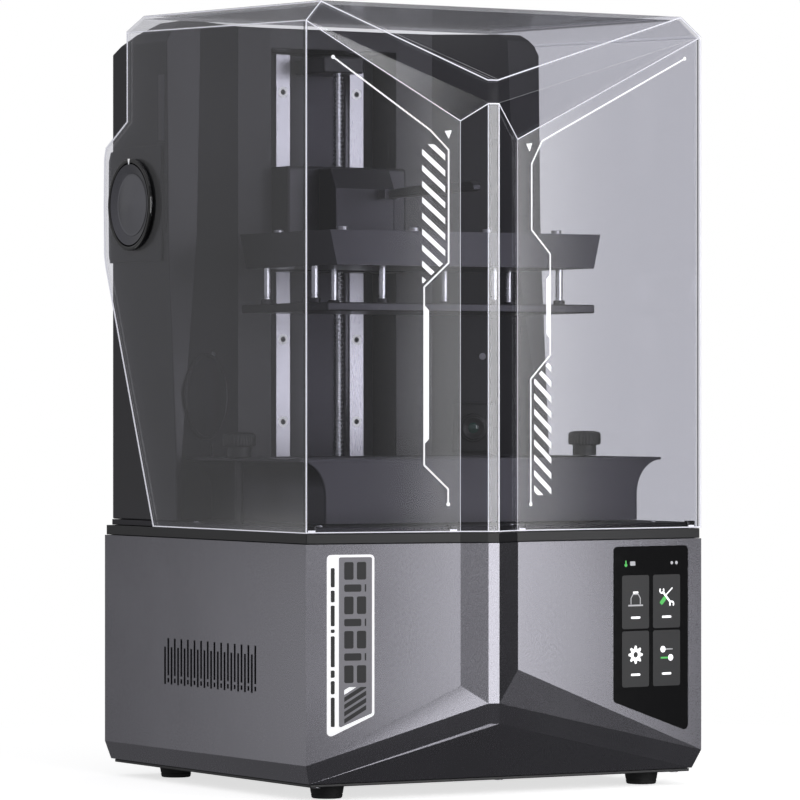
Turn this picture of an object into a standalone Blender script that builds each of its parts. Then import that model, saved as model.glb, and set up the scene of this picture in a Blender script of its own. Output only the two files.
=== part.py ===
"""Desktop resin printer, built from its separate pieces.

Units are metres, +Z is up and the front of the printer faces -Y.  The origin lies on the
surface that the printer stands on, under the middle of its outer box.
"""
import math

import bmesh
import bpy
from mathutils import Matrix, Vector

MM = 0.001
GAP = 0.3                      # clearance between pieces that meet, mm

# ---- driving dimensions, all in millimetres -------------------------------------------------
HALF_WIDTH = 161.1             # half the width of the housing and of the lid
FRONT_CORNER_Y = -134.8        # the two front corners
BASE_REAR_Y = 162.4            # rear face of the housing
RIDGE = ((-49.9, -153.5), (-32.6, -162.0), (-25.5, -164.6), (-2.7, -152.2))

FOOT_HEIGHT = 9.0
BASE_BOTTOM = 11.7             # underside of the housing
SEAM_Z = 174.5                 # where the housing ends and the dark band starts
BAND_TOP = 181.7               # where the lid stands on the band
DECK_TOP = 186.0               # metal deck around the exposure screen
BASE_LOW_Z = (24.6, 76.8, 64.6, 64.6, 86.6, 24.6)       # lower edge of the front panels
LID_HIGH_Z = (530.4, 464.4, 476.3, 476.3, 453.1, 530.4)  # upper edge of the lid's front panels

WALL = 2.4                     # lid and housing walls
HINGE_Y, HINGE_Z = 120.1, 413.3
HUB_RADIUS = 33.2
HUB_FACE_X = 163.7             # outer face of the hub caps: half the overall width
LID_HOLE_RADIUS = 27.0

TOWER_SIDE_X = 156.8
TOWER_REAR_Y = 158.6
TOWER_WALL = 2.5
RECESS_HALF = 52.5             # recess in the tower for the Z axis
RECESS_TOP = 529.0

SCREW_Y = 102.3                # axis of the lead screw
SCREW_RADIUS = 4.2
RAIL_X = 31.2
RAIL_WIDTH = 12.6
RAIL_FRONT_Y = 128.9
COLUMN_FRONT_Y = 137.3
RAIL_TOP = 526.5

PLATE_HALF = 110.0             # build plate
PLATE_Y = (-75.0, 49.6)
PLATE_Z = (334.5, 340.6)
HEAD_Z = (366.3, 390.6)
TONGUE_Z = (380.0, 390.6)      # the head's rear arm passes over the vat's rear wall at the lowest stop
PIN_X = (-101.0, -46.2, 46.2, 101.0)
PIN_Y = (-41.3, 27.6)
PIN_RADIUS = 2.6
PIN_ENTRY = 8.0                # length of a pin inside the head

VAT_FLOOR = 187.5
VAT_RIM = 232.0
VAT_RIM_HALF = 149.0
VAT_Y = (-103.0, 62.0)         # rim, front to rear
KNOB_X, KNOB_Y = 143.5, -8.8
KNOB_RADIUS = 11.8

# ---- scene, collections and materials -------------------------------------------------------
for stale in list(bpy.data.objects):
    bpy.data.objects.remove(stale, do_unlink=True)

PARTS = bpy.data.collections.new("resin_printer")
TOOLS = bpy.data.collections.new("cutters")
for group in (PARTS, TOOLS):
    bpy.context.scene.collection.children.link(group)

FINISHES = {
    "housing_paint": ((0.115, 0.112, 0.125), 0.38, 0.55),
    "dark_plastic": ((0.026, 0.026, 0.029), 0.45, 0.0),
    "tower_plastic": ((0.075, 0.073, 0.082), 0.42, 0.2),
    "clear_plastic": ((0.62, 0.61, 0.66), 0.06, 0.0),
    "black_rubber": ((0.008, 0.008, 0.008), 0.7, 0.0),
    "polished_steel": ((0.62, 0.62, 0.63), 0.2, 1.0),
    "anodised_grey": ((0.13, 0.13, 0.15), 0.35, 0.9),
    "bare_aluminium": ((0.55, 0.55, 0.57), 0.35, 1.0),
    "screen_glass": ((0.02, 0.022, 0.03), 0.06, 0.0),
    "circuit_board": ((0.02, 0.09, 0.04), 0.5, 0.0),
    "release_film": ((0.5, 0.52, 0.55), 0.1, 0.0),
}


def finish(name):
    """Returns the Principled material of a finish, made once."""
    material = bpy.data.materials.get(name)
    if material:
        return material
    colour, roughness, metallic = FINISHES[name]
    material = bpy.data.materials.new(name)
    material.use_nodes = True
    shader = material.node_tree.nodes["Principled BSDF"]
    shader.inputs["Base Color"].default_value = (*colour, 1.0)
    shader.inputs["Roughness"].default_value = roughness
    shader.inputs["Metallic"].default_value = metallic
    return material


def place(name, mesh, look, location=(0, 0, 0)):
    """Puts a mesh in the scene as one piece; look None makes it a cutter."""
    piece = bpy.data.objects.new(name, mesh)
    piece.location = Vector(location) * MM
    if look is None:
        TOOLS.objects.link(piece)
        piece.hide_render = True
        piece.display_type = "WIRE"
    else:
        PARTS.objects.link(piece)
        mesh.materials.append(finish(look))
    return piece


def mesh_from(bm, name, smooth_angle=None):
    """Turns a bmesh into a mesh with its faces pointing out."""
    bmesh.ops.recalc_face_normals(bm, faces=bm.faces)
    mesh = bpy.data.meshes.new(name)
    bm.to_mesh(mesh)
    bm.free()
    if smooth_angle is not None:
        mesh.shade_smooth()
        mesh.set_sharp_from_angle(angle=math.radians(smooth_angle))
    return mesh


def box(name, look, x, y, z, bevel=0.0, segments=2):
    """A block between the given limits in millimetres, with rounded edges if asked."""
    bm = bmesh.new()
    bmesh.ops.create_cube(bm, size=1.0)
    centre = Vector((sum(x) / 2, sum(y) / 2, sum(z) / 2))
    size = (x[1] - x[0], y[1] - y[0], z[1] - z[0])
    bmesh.ops.scale(bm, vec=Vector(size) * MM, verts=bm.verts)
    piece = place(name, mesh_from(bm, name), look, centre)
    if bevel:
        add_bevel(piece, bevel, segments)
    return piece


def add_bevel(piece, width, segments=2, angle=40.0):
    edge = piece.modifiers.new("round_edges", "BEVEL")
    edge.width = width * MM
    edge.segments = segments
    edge.limit_method = "ANGLE"
    edge.angle_limit = math.radians(angle)
    return edge


def frame_of(axis, centre):
    """Matrix that turns +Z to the named axis and moves the origin to centre (mm)."""
    turn = {"X": Matrix.Rotation(math.pi / 2, 4, "Y"), "Y": Matrix.Rotation(-math.pi / 2, 4, "X"),
            "Z": Matrix.Identity(4)}[axis]
    return Matrix.Translation(Vector(centre) * MM) @ turn


def rod(name, look, centre, radius, length, axis="Z", top_radius=None, segments=24):
    """A cylinder or cone centred on a point, along X, Y or Z."""
    bm = bmesh.new()
    bmesh.ops.create_cone(bm, cap_ends=True, segments=segments, radius1=radius * MM,
                          radius2=(radius if top_radius is None else top_radius) * MM, depth=length * MM)
    piece = place(name, mesh_from(bm, name, 35), look)
    piece.matrix_world = frame_of(axis, centre)
    return piece


def turned(name, look, profile, centre, axis="Z", segments=24):
    """A turned solid; profile holds (radius, height) in mm from the top centre down the outside."""
    bm = bmesh.new()
    corners = [bm.verts.new((radius * MM, 0.0, height * MM)) for radius, height in profile]
    for first, second in zip(corners, corners[1:]):
        bm.edges.new((first, second))
    mesh = bpy.data.meshes.new(name)
    bm.to_mesh(mesh)
    bm.free()
    piece = place(name, mesh, look)
    piece.matrix_world = frame_of(axis, centre)
    spin = piece.modifiers.new("turn", "SCREW")
    spin.steps = spin.render_steps = segments
    spin.angle = 2 * math.pi
    spin.use_merge_vertices = True
    spin.merge_threshold = 0.00005
    spin.use_smooth_shade = False
    return piece


def prism(name, look, outline, low, high, axis="Z"):
    """Extrudes a flat outline: (x, y) along Z, (x, z) along Y or (y, z) along X."""
    order = {"Z": lambda u, v, w: (u, v, w), "Y": lambda u, v, w: (u, w, v), "X": lambda u, v, w: (w, u, v)}
    put = order[axis]
    bm = bmesh.new()
    face = bm.faces.new([bm.verts.new(Vector(put(u, v, low)) * MM) for u, v in outline])
    grown = bmesh.ops.extrude_face_region(bm, geom=[face])
    verts = [item for item in grown["geom"] if isinstance(item, bmesh.types.BMVert)]
    bmesh.ops.translate(bm, vec=Vector(put(0.0, 0.0, high - low)) * MM, verts=verts)
    return place(name, mesh_from(bm, name), look)


def boolean(piece, tool, operation="DIFFERENCE"):
    step = piece.modifiers.new(f"{operation.lower()}_{tool.name}"[:60], "BOOLEAN")
    step.operation = operation
    step.solver = "EXACT"
    step.object = tool
    return step


def cut_box(piece, name, x, y, z):
    return boolean(piece, box(name, None, x, y, z))


def cut_rod(piece, name, centre, radius, length, axis="Z", segments=24):
    return boolean(piece, rod(name, None, centre, radius, length, axis, segments=segments))


def rounded_rectangle(half_x, y, radius, steps=5):
    """Plan outline of a rectangle with round corners, counter-clockwise from the front right."""
    corners = ((half_x - radius, y[0] + radius, -90), (half_x - radius, y[1] - radius, 0),
               (radius - half_x, y[1] - radius, 90), (radius - half_x, y[0] + radius, 180))
    points = []
    for cx, cy, start in corners:
        for step in range(steps + 1):
            angle = math.radians(start + 90 * step / steps)
            points.append((cx + radius * math.cos(angle), cy + radius * math.sin(angle)))
    return points


def loft(name, look, rings, close_top=False, close_bottom=False):
    """A skin through rings of equally many points, each ring a list of (x, y, z) in mm."""
    bm = bmesh.new()
    rows = [[bm.verts.new(Vector(point) * MM) for point in ring] for ring in rings]
    for lower, upper in zip(rows, rows[1:]):
        for i in range(len(lower)):
            j = (i + 1) % len(lower)
            bm.faces.new((lower[i], lower[j], upper[j], upper[i]))
    if close_bottom:
        bm.faces.new(list(reversed(rows[0])))
    if close_top:
        bm.faces.new(rows[-1])
    return place(name, mesh_from(bm, name), look)


def add_wall(piece, thickness, offset=-1.0):
    wall = piece.modifiers.new("wall", "SOLIDIFY")
    wall.thickness = thickness * MM
    wall.offset = offset
    wall.use_even_offset = True
    return wall


# ---- the outline that the housing and the lid share -----------------------------------------
FRONT_OUTLINE = ((-HALF_WIDTH, FRONT_CORNER_Y), *RIDGE, (HALF_WIDTH, FRONT_CORNER_Y))


def inset_outline(inset, rear):
    """Plan of the whole body pulled in by inset, with a straight rear edge."""
    points = [(x * (1 - inset / HALF_WIDTH), y + inset) for x, y in FRONT_OUTLINE]
    side = HALF_WIDTH - inset
    return points + [(side, rear), (-side, rear)]


def prow_skin(panel, edge_z, crease, rear, end_z):
    """The faceted skin that the housing and the lid share, one the mirror image of the other.

    panel is the height where the vertical front panels start, edge_z where each corner's panel
    ends, and crease the four points (corner, ridge, ridge, corner) of the edge beyond the
    chamfer.  rear is the rear end of the side panels, and end_z the heights of their edge and
    crease there.
    """
    bm = bmesh.new()

    def vert(x, y, z):
        return bm.verts.new(Vector((x, y, z)) * MM)

    start = [vert(x, y, panel) for x, y in FRONT_OUTLINE]
    edge = [vert(x, y, z) for (x, y), z in zip(FRONT_OUTLINE, edge_z)]
    fold = [vert(*point) for point in crease]
    for i in range(5):
        bm.faces.new((start[i], start[i + 1], edge[i + 1], edge[i]))
    a, b, c, d, e, f = edge
    g, h, i, j = fold
    for corners in ((a, b, c), (d, e, f), (a, c, h, g), (c, d, i, h), (d, f, j, i), (g, h, i, j)):
        bm.faces.new(corners)
    rear_low = [vert(side * HALF_WIDTH, rear, panel) for side in (-1, 1)]
    rear_edge = [vert(side * HALF_WIDTH, rear, end_z[0]) for side in (-1, 1)]
    rear_fold = [vert(side * abs(crease[0][0]), rear, end_z[1]) for side in (-1, 1)]
    bm.faces.new((start[0], a, rear_edge[0], rear_low[0]))
    bm.faces.new((f, start[5], rear_low[1], rear_edge[1]))
    bm.faces.new((a, g, rear_fold[0], rear_edge[0]))
    bm.faces.new((j, f, rear_edge[1], rear_fold[1]))
    return bm, {"low": rear_low, "edge": rear_edge, "fold": rear_fold, "front": (g, j)}


# ---- panes in the right front panel ---------------------------------------------------------
SCREEN_X = (81.2, 149.1)
SCREEN_LOW = (61.0, 38.0)      # lower edge of the screen at its left and right end


def panel_y(x):
    """Y of the right front panel's outer face at x."""
    (x0, y0), (x1, y1) = RIDGE[3], (HALF_WIDTH, FRONT_CORNER_Y)
    return y0 + (y1 - y0) * (x - x0) / (x1 - x0)


def pane(name, look, x, low, top, margin, grow, front, back):
    """An upright pane parallel to the right front panel.

    Its edges lie margin inside and grow outside the given limits, and its faces the depths
    front and back behind the panel's outer face.
    """
    edge = grow - margin
    face = [(x[0] - edge, low[0] - edge), (x[1] + edge, low[1] - edge), (x[1] + edge, top + edge),
            (x[0] - edge, top + edge)]
    rings = [[(px, panel_y(px) + depth, pz) for px, pz in face] for depth in (front, back)]
    return loft(name, look, rings, close_top=True, close_bottom=True)


# ---- housing of the base --------------------------------------------------------------------
def build_base_shell():
    crease = ((-156.0, -130.4, BASE_BOTTOM), (-29.0, -157.4, 50.2),
              (-22.4, -159.3, 50.2), (156.0, -130.4, BASE_BOTTOM))
    bm, ends = prow_skin(SEAM_Z, BASE_LOW_Z, crease, BASE_REAR_Y, (BASE_LOW_Z[0], BASE_BOTTOM))
    low, edge, fold = ends["low"], ends["edge"], ends["fold"]
    bm.faces.new((low[0], low[1], edge[1], edge[0]))
    bm.faces.new((edge[0], edge[1], fold[1], fold[0]))
    shell = place("base_shell", mesh_from(bm, "base_shell"), "housing_paint")
    add_wall(shell, WALL)
    slots = vent_cutter()
    boolean(shell, slots)
    boolean(shell, pane("screen_opening", None, SCREEN_X, SCREEN_LOW, SEAM_Z - 4.5, 0.0, GAP, -9.0, 9.0))
    cut_box(shell, "inlet_opening", (-132.0, -82.0), (150.0, 170.0), (32.0, 64.0))
    cut_box(shell, "usb_opening", (100.0, 118.0), (150.0, 170.0), (40.0, 50.0))
    return shell


VENT_COLUMNS = 28
VENT_FIRST_Y, VENT_PITCH, VENT_WIDTH = -64.0, 4.92, 2.6


def vent_cutter():
    """One cutter for the rows of upright slots in both side walls."""
    bm = bmesh.new()
    for column in range(VENT_COLUMNS):
        y = VENT_FIRST_Y + column * VENT_PITCH
        spans = ((76.8, 103.3), (71.8, 75.0)) if column % 2 == 0 else ((70.5, 97.0),)
        for low, high in spans:
            for side in (-1, 1):
                made = bmesh.ops.create_cube(bm, size=1.0)["verts"]
                bmesh.ops.scale(bm, vec=Vector((10.0, VENT_WIDTH, high - low)) * MM, verts=made)
                centre = Vector((side * HALF_WIDTH, y, (low + high) / 2))
                bmesh.ops.translate(bm, vec=centre * MM, verts=made)
    return place("vent_slots", mesh_from(bm, "vent_slots"), None)


build_base_shell()

deck_band = prism("deck_band", "dark_plastic", inset_outline(0.8, BASE_REAR_Y - 0.8),
                  SEAM_Z + GAP, BAND_TOP)
cut_box(deck_band, "band_window", (-100.0, 100.0), (-70.0, 46.0), (170.0, 190.0))
cut_rod(deck_band, "band_screw_hole", (0.0, SCREW_Y, 178.0), 12.0, 20.0)

deck_cover = prism("deck_cover", "bare_aluminium", inset_outline(3.6, 158.0), BAND_TOP + GAP, DECK_TOP)
cut_box(deck_cover, "cover_window", (-112.6, 112.6), (-78.6, 53.2), (170.0, 190.0))
cut_rod(deck_cover, "cover_screw_hole", (0.0, SCREW_Y, 184.0), 12.0, 20.0)
for side, label in ((-1, "left"), (1, "right")):
    for plate, height in ((deck_band, 178.0), (deck_cover, 184.0)):
        hole = f"{plate.name}_stem_hole_{label}"
        cut_rod(plate, hole, (side * KNOB_X, KNOB_Y, height), 3.8, 20.0, segments=16)

box("bottom_plate", "dark_plastic", (-154.5, 154.5), (-129.4, BASE_REAR_Y - 3.0),
    (FOOT_HEIGHT + GAP, BASE_BOTTOM - GAP))
FOOT_PLACES = {"foot_front_left": (-128.6, -106.6), "foot_front_right": (128.6, -106.6),
               "foot_rear_left": (-126.6, 117.1), "foot_rear_right": (126.6, 117.1)}
for label, (x, y) in FOOT_PLACES.items():
    rod(label, "black_rubber", (x, y, FOOT_HEIGHT / 2), 10.1, FOOT_HEIGHT, top_radius=11.7)


# ---- touch screen -------------------------------------------------------------------------
pane("screen_glass", "screen_glass", SCREEN_X, SCREEN_LOW, SEAM_Z - 4.5, 0.0, 0.0, 0.2, 2.2)
pane("screen_module", "dark_plastic", SCREEN_X, SCREEN_LOW, SEAM_Z - 4.5, 3.0, 0.0, 2.6, 8.0)

# ---- exposure unit inside the base ----------------------------------------------------------
SCREEN_MIDDLE_Y = (PLATE_Y[0] + PLATE_Y[1]) / 2
box("lcd_panel", "screen_glass", (-112.0, 112.0), (-78.0, 52.6), (BAND_TOP + GAP, DECK_TOP + 0.4))
HOOD_SECTIONS = ((52.0, 40.0, 72.0), (98.0, 56.0, 140.0), (98.0, 56.0, 173.8))
hood = loft("light_hood", "anodised_grey",
            [[(x * hx, SCREEN_MIDDLE_Y + y * hy, z) for x, y in ((-1, -1), (1, -1), (1, 1), (-1, 1))]
             for hx, hy, z in HOOD_SECTIONS])
add_wall(hood, 2.0)
box("led_array", "circuit_board", (-46.0, 46.0), (-46.0, 20.6), (66.0, 71.6))


def build_heat_sink():
    """Comb of fins under the light source."""
    outline = [(-45.0, 65.7), (-45.0, 44.0)]
    for fin in range(9):
        left = -45.0 + fin * 10.75
        if fin:
            outline += [(left, 60.0), (left, 44.0)]
        outline += [(left + 4.0, 44.0), (left + 4.0, 60.0 if fin < 8 else 44.0)]
    outline[-1] = (45.0, 65.7)
    return prism("heat_sink", "bare_aluminium", outline, -45.0, 19.6, "Y")


build_heat_sink()

FAN_CENTRE = (0.0, SCREEN_MIDDLE_Y)
fan_frame = box("fan_frame", "dark_plastic", (-40.0, 40.0), (-52.7, 27.3), (18.0, 43.0))
cut_rod(fan_frame, "fan_bore", (*FAN_CENTRE, 30.0), 38.0, 40.0, segments=32)
boolean(fan_frame, box("fan_spokes", None, (-39.0, 39.0), (-15.2, -10.2), (18.0, 21.0)), "UNION")
boolean(fan_frame, rod("fan_hub_seat", None, (*FAN_CENTRE, 20.5), 14.0, 5.0), "UNION")


def build_fan_rotor():
    """Hub and nine pitched blades on the fan's axis."""
    rotor = rod("fan_rotor", "dark_plastic", (*FAN_CENTRE, 33.0), 14.0, 17.0)
    for blade in range(9):
        turn = Matrix.Rotation(2 * math.pi * blade / 9, 4, "Z")
        bm = bmesh.new()
        bmesh.ops.create_cube(bm, size=1.0)
        bmesh.ops.scale(bm, vec=Vector((24.0, 1.6, 15.0)) * MM, verts=bm.verts)
        tool = place(f"blade_{blade}", mesh_from(bm, f"blade_{blade}"), None)
        tilt = Matrix.Rotation(math.radians(35), 4, "X")
        tool.matrix_world = (Matrix.Translation(Vector((*FAN_CENTRE, 33.0)) * MM) @ turn
                             @ Matrix.Translation(Vector((24.5, 0.0, 0.0)) * MM) @ tilt)
        boolean(rotor, tool, "UNION")
    return rotor


build_fan_rotor()

# ---- electrics ------------------------------------------------------------------------------
box("mainboard", "circuit_board", (62.0, 146.0), (-10.0, 118.0), (20.0, 21.8))
box("power_supply", "bare_aluminium", (-150.0, -54.0), (10.0, 120.0), (14.0, 52.0), 1.0, 1)

inlet = box("power_inlet", "dark_plastic", (-131.6, -82.4), (136.0, BASE_REAR_Y + 1.6), (32.4, 63.6), 1.2, 1)
cut_box(inlet, "inlet_socket", (-110.0, -86.0), (148.0, 170.0), (40.0, 56.0))
cut_box(inlet, "switch_well", (-128.0, -114.6), (150.0, 170.0), (38.0, 58.0))
for index, (x, z) in enumerate(((-98.0, 50.0), (-103.0, 45.0), (-93.0, 45.0))):
    prong = box(f"inlet_prong_{index}", None, (x - 1.0, x + 1.0), (147.0, 158.0), (z - 2.0, z + 2.0))
    boolean(inlet, prong, "UNION")
prism("power_rocker", "dark_plastic",
               [(152.2, 44.0), (156.5, 40.0), (164.2, 39.4), (162.6, 48.0), (164.2, 56.6), (156.5, 56.0),
                (152.2, 52.0)], -127.2, -115.4, "X")

usb = box("usb_socket", "polished_steel", (100.4, 117.6), (140.0, BASE_REAR_Y), (40.4, 49.6))
cut_box(usb, "usb_slot", (102.0, 116.0), (143.0, 170.0), (42.0, 48.0))


# ---- tower that covers the Z axis -----------------------------------------------------------
TOWER_PROFILE = ((60.0, DECK_TOP + GAP), (60.0, VAT_RIM), (71.8, 390.0), (74.8, 540.0), (79.0, 544.0),
                 (110.0, 544.0), (TOWER_REAR_Y, 523.5), (TOWER_REAR_Y, DECK_TOP + GAP))
TOWER_FRONT = ((TOWER_SIDE_X, 529.0), (153.0, 536.0), (143.5, 544.0))     # upper corners seen from the front
WING = ((TOWER_SIDE_X, 60.0), (152.5, 60.0), (82.0, 105.0), (54.0, 107.5))


def front_profile(inset, low):
    """Front view of the tower with its chamfered upper corners, pulled in by inset."""
    right = [(x - inset, z - inset) for x, z in TOWER_FRONT]
    left = [(-x, z) for x, z in reversed(right)]
    return [(TOWER_SIDE_X - inset, low), *right, *left, (inset - TOWER_SIDE_X, low)]


def build_tower():
    """Full-width cover: the plan gives the wings, the side profile trims the top and the front."""
    right = [(x, y) for x, y in WING]
    left = [(-x, y) for x, y in reversed(WING)]
    plan = right + left + [(-TOWER_SIDE_X, TOWER_REAR_Y), (TOWER_SIDE_X, TOWER_REAR_Y)]
    tower = prism("tower_cover", "tower_plastic", plan, DECK_TOP + GAP, 560.0)
    boolean(tower, prism("tower_profile", None, TOWER_PROFILE, -170.0, 170.0, "X"), "INTERSECT")
    boolean(tower, prism("tower_front", None, front_profile(0.0, 100.0), 0.0, 200.0, "Y"), "INTERSECT")
    for side, label in ((-1, "left"), (1, "right")):
        tower_cavity(tower, side, label)
    back = TOWER_REAR_Y - TOWER_WALL
    hollow = [(90.0, 150.0), (back, 150.0), (back, 521.5), (139.8, RECESS_TOP), (90.0, RECESS_TOP)]
    boolean(tower, prism("recess", None, hollow, -RECESS_HALF, RECESS_HALF, "X"))
    return tower


def tower_cavity(tower, side, label):
    """Hollow of one wing, open at the bottom, one wall thickness inside the outer skin."""
    wall = TOWER_WALL
    inner = ((TOWER_SIDE_X - wall, 60.0 + wall), (153.0 - wall, 60.0 + wall), (82.8, 105.0 + wall),
             (RECESS_HALF + wall, 107.5 + wall), (RECESS_HALF + wall, TOWER_REAR_Y - wall),
             (TOWER_SIDE_X - wall, TOWER_REAR_Y - wall))
    cavity = prism(f"cavity_{label}", None, [(side * x, y) for x, y in inner], 150.0, 550.0)
    inside = [(y + (wall if y < 100 else -wall * (y > 150)), z - (wall if z > 200 else -30.0))
              for y, z in TOWER_PROFILE[1:-1]]
    inside = [(inside[0][0], 150.0)] + inside + [(inside[-1][0], 150.0)]
    boolean(cavity, prism(f"cavity_profile_{label}", None, inside, -170.0, 170.0, "X"), "INTERSECT")
    front = prism(f"cavity_front_{label}", None, front_profile(wall, 100.0), 0.0, 200.0, "Y")
    boolean(cavity, front, "INTERSECT")
    boolean(tower, cavity)


build_tower()

FACET_ANGLE = math.atan2(105.0 - 60.0, 152.5 - 82.0)     # slope of the wings' inner facets in plan


def facet_matrix(side, x, z, proud):
    """Frame on a wing's slanted facet: its +Z leaves the facet, its +Y points up."""
    y = 60.0 + (152.5 - x) * math.tan(FACET_ANGLE)
    out = Vector((-side * math.sin(FACET_ANGLE), -math.cos(FACET_ANGLE), 0.0))
    up = Vector((0.0, 0.0, 1.0))
    across = up.cross(out)
    turn = Matrix((across, up, out)).transposed().to_4x4()
    return Matrix.Translation((Vector((side * x, y, z)) + out * proud) * MM) @ turn


camera = box("camera_module", "dark_plastic", (-16.0, 16.0), (-18.5, 18.5), (-5.0, 5.0), 1.5, 2)
camera.matrix_world = facet_matrix(1, 108.0, 252.0, 5.0 + GAP)
boolean(camera, rod("camera_ring", None, (0.0, 0.0, 0.0), 9.5, 8.0), "UNION")
bpy.data.objects["camera_ring"].matrix_world = facet_matrix(1, 108.0, 252.0, 8.0 + GAP)
cover = rod("filter_cover", "tower_plastic", (0.0, 0.0, 0.0), 31.0, 2.4, segments=40)
cover.matrix_world = facet_matrix(-1, 124.0, 275.0, 1.2 + GAP)

for side, label in ((-1, "left"), (1, "right")):
    rod(f"hinge_pin_{label}", "polished_steel", (side * 158.45, HINGE_Y, HINGE_Z), 8.0, 2.7, "X")

# ---- Z axis ---------------------------------------------------------------------------------
column_side = [(COLUMN_FRONT_Y, DECK_TOP + GAP), (154.0, DECK_TOP + GAP), (154.0, 519.0), (143.0, RAIL_TOP),
               (COLUMN_FRONT_Y, RAIL_TOP)]
prism("z_column", "bare_aluminium", column_side, -50.0, 50.0, "X")
for side, label in ((-1, "left"), (1, "right")):
    x = side * RAIL_X
    box(f"rail_{label}", "polished_steel", (x - RAIL_WIDTH / 2, x + RAIL_WIDTH / 2),
        (RAIL_FRONT_Y, COLUMN_FRONT_Y - GAP), (DECK_TOP + 0.6, RAIL_TOP), 0.8, 1)

turned("lead_screw", "polished_steel",
       [(0.0, 516.0), (SCREW_RADIUS, 516.0), (SCREW_RADIUS, 199.3), (0.0, 199.3)], (0.0, SCREW_Y, 0.0))
turned("screw_coupler", "bare_aluminium",
       [(0.0, 199.0), (9.0, 199.0), (10.0, 198.0), (10.0, 176.0), (9.0, 175.0), (0.0, 175.0)],
       (0.0, SCREW_Y, 0.0))
box("z_motor", "dark_plastic", (-21.1, 21.1), (SCREW_Y - 21.1, SCREW_Y + 21.1), (126.0, 174.0), 3.0, 1)
bearing = box("top_bearing", "anodised_grey", (-17.0, 17.0), (SCREW_Y - 9.0, COLUMN_FRONT_Y - GAP),
              (512.0, 524.0), 1.0, 1)
cut_rod(bearing, "bearing_bore", (0.0, SCREW_Y, 512.0), SCREW_RADIUS + 0.4, 9.0)

# ---- carriage -------------------------------------------------------------------------------
CARRIAGE_Z = (366.3, 442.8)
CARRIAGE_FRONT_Y = 88.0
carriage = box("carriage_plate", "anodised_grey", (-50.0, 50.0), (CARRIAGE_FRONT_Y, 122.6),
               CARRIAGE_Z, 1.5, 1)
cut_rod(carriage, "nut_bore", (0.0, SCREW_Y, 400.0), 9.4, 100.0, segments=32)
turned("lead_nut", "bare_aluminium",
       [(SCREW_RADIUS + 0.3, 430.0), (8.0, 430.0), (9.0, 429.0), (9.0, 381.0), (8.0, 380.0),
        (SCREW_RADIUS + 0.3, 380.0), (SCREW_RADIUS + 0.3, 430.0)], (0.0, SCREW_Y, 0.0), segments=32)
for side, label in ((-1, "left"), (1, "right")):
    x = side * RAIL_X
    half, slot = 13.5, RAIL_WIDTH / 2 + GAP
    outline = [(x - half, 122.9), (x + half, 122.9), (x + half, 135.0), (x + slot, 135.0),
               (x + slot, RAIL_FRONT_Y - GAP), (x - slot, RAIL_FRONT_Y - GAP), (x - slot, 135.0),
               (x - half, 135.0)]
    prism(f"bearing_block_{label}", "bare_aluminium", outline, 375.0, 435.0)

block_rear = CARRIAGE_FRONT_Y - GAP
block_side = [(62.0, 390.9), (block_rear, 390.9), (block_rear, 441.0), (70.0, 441.0), (62.0, 426.0)]
prism("carriage_block", "anodised_grey", block_side, -24.8, 24.8, "X")

head_front = [(-111.0, HEAD_Z[1]), (-105.5, HEAD_Z[0]), (105.5, HEAD_Z[0]), (111.0, HEAD_Z[1])]
head = prism("platform_head", "anodised_grey", head_front, -80.6, 49.6, "Y")
boolean(head, box("head_tongue", None, (-24.8, 24.8), (40.0, block_rear), TONGUE_Z), "UNION")
pins = [(x, y) for y in PIN_Y for x in PIN_X]
for index, (x, y) in enumerate(pins):
    cut_rod(head, f"pin_bore_{index}", (x, y, HEAD_Z[0] + 1.0), PIN_RADIUS + 0.4, 26.0, segments=16)

LEVER_PIVOT = (17.7, 57.2, 422.2)
LEVER_X, LEVER_Y, LEVER_Z = LEVER_PIVOT
bracket_half = [(3.4, 60.7), (3.4, 53.0), (6.4, 53.0), (6.4, 61.7)]
bracket_plan = [(LEVER_X + x, y) for x, y in bracket_half] + [(LEVER_X - x, y) for x, y in bracket_half[::-1]]
bracket = prism("lever_bracket", "bare_aluminium", bracket_plan, 419.0, 425.8)
boolean(bracket, rod("lever_pin", None, LEVER_PIVOT, 1.2, 11.0, "X", segments=12), "UNION")
lever_eye = [math.radians(angle) for angle in range(-90, 91, 22)]
lever_side = [(LEVER_Y + 2.8 * math.cos(angle), LEVER_Z + 2.8 * math.sin(angle)) for angle in lever_eye]
lever_side += [(17.2, 427.0), (-60.0, 427.5), (-64.6, 425.0), (-64.6, 421.4), (-60.0, 420.4)]
lever = prism("release_lever", "polished_steel", lever_side, LEVER_X - 3.0, LEVER_X + 3.0, "X")
cut_rod(lever, "lever_bore", LEVER_PIVOT, 1.5, 12.0, "X", segments=12)

# ---- build plate on its spring pins ---------------------------------------------------------
box("build_plate", "bare_aluminium", (-PLATE_HALF, PLATE_HALF), PLATE_Y, PLATE_Z, 0.8, 1)
for index, (x, y) in enumerate(pins):
    top = HEAD_Z[0] + PIN_ENTRY
    foot = PLATE_Z[1] + GAP
    turned(f"guide_pin_{index + 1}", "polished_steel",
           [(0.0, top), (PIN_RADIUS - 0.5, top), (PIN_RADIUS, top - 0.5), (PIN_RADIUS, foot + 3.4),
            (4.2, foot + 3.4), (4.2, foot), (0.0, foot)], (x, y, 0.0), segments=16)


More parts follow.
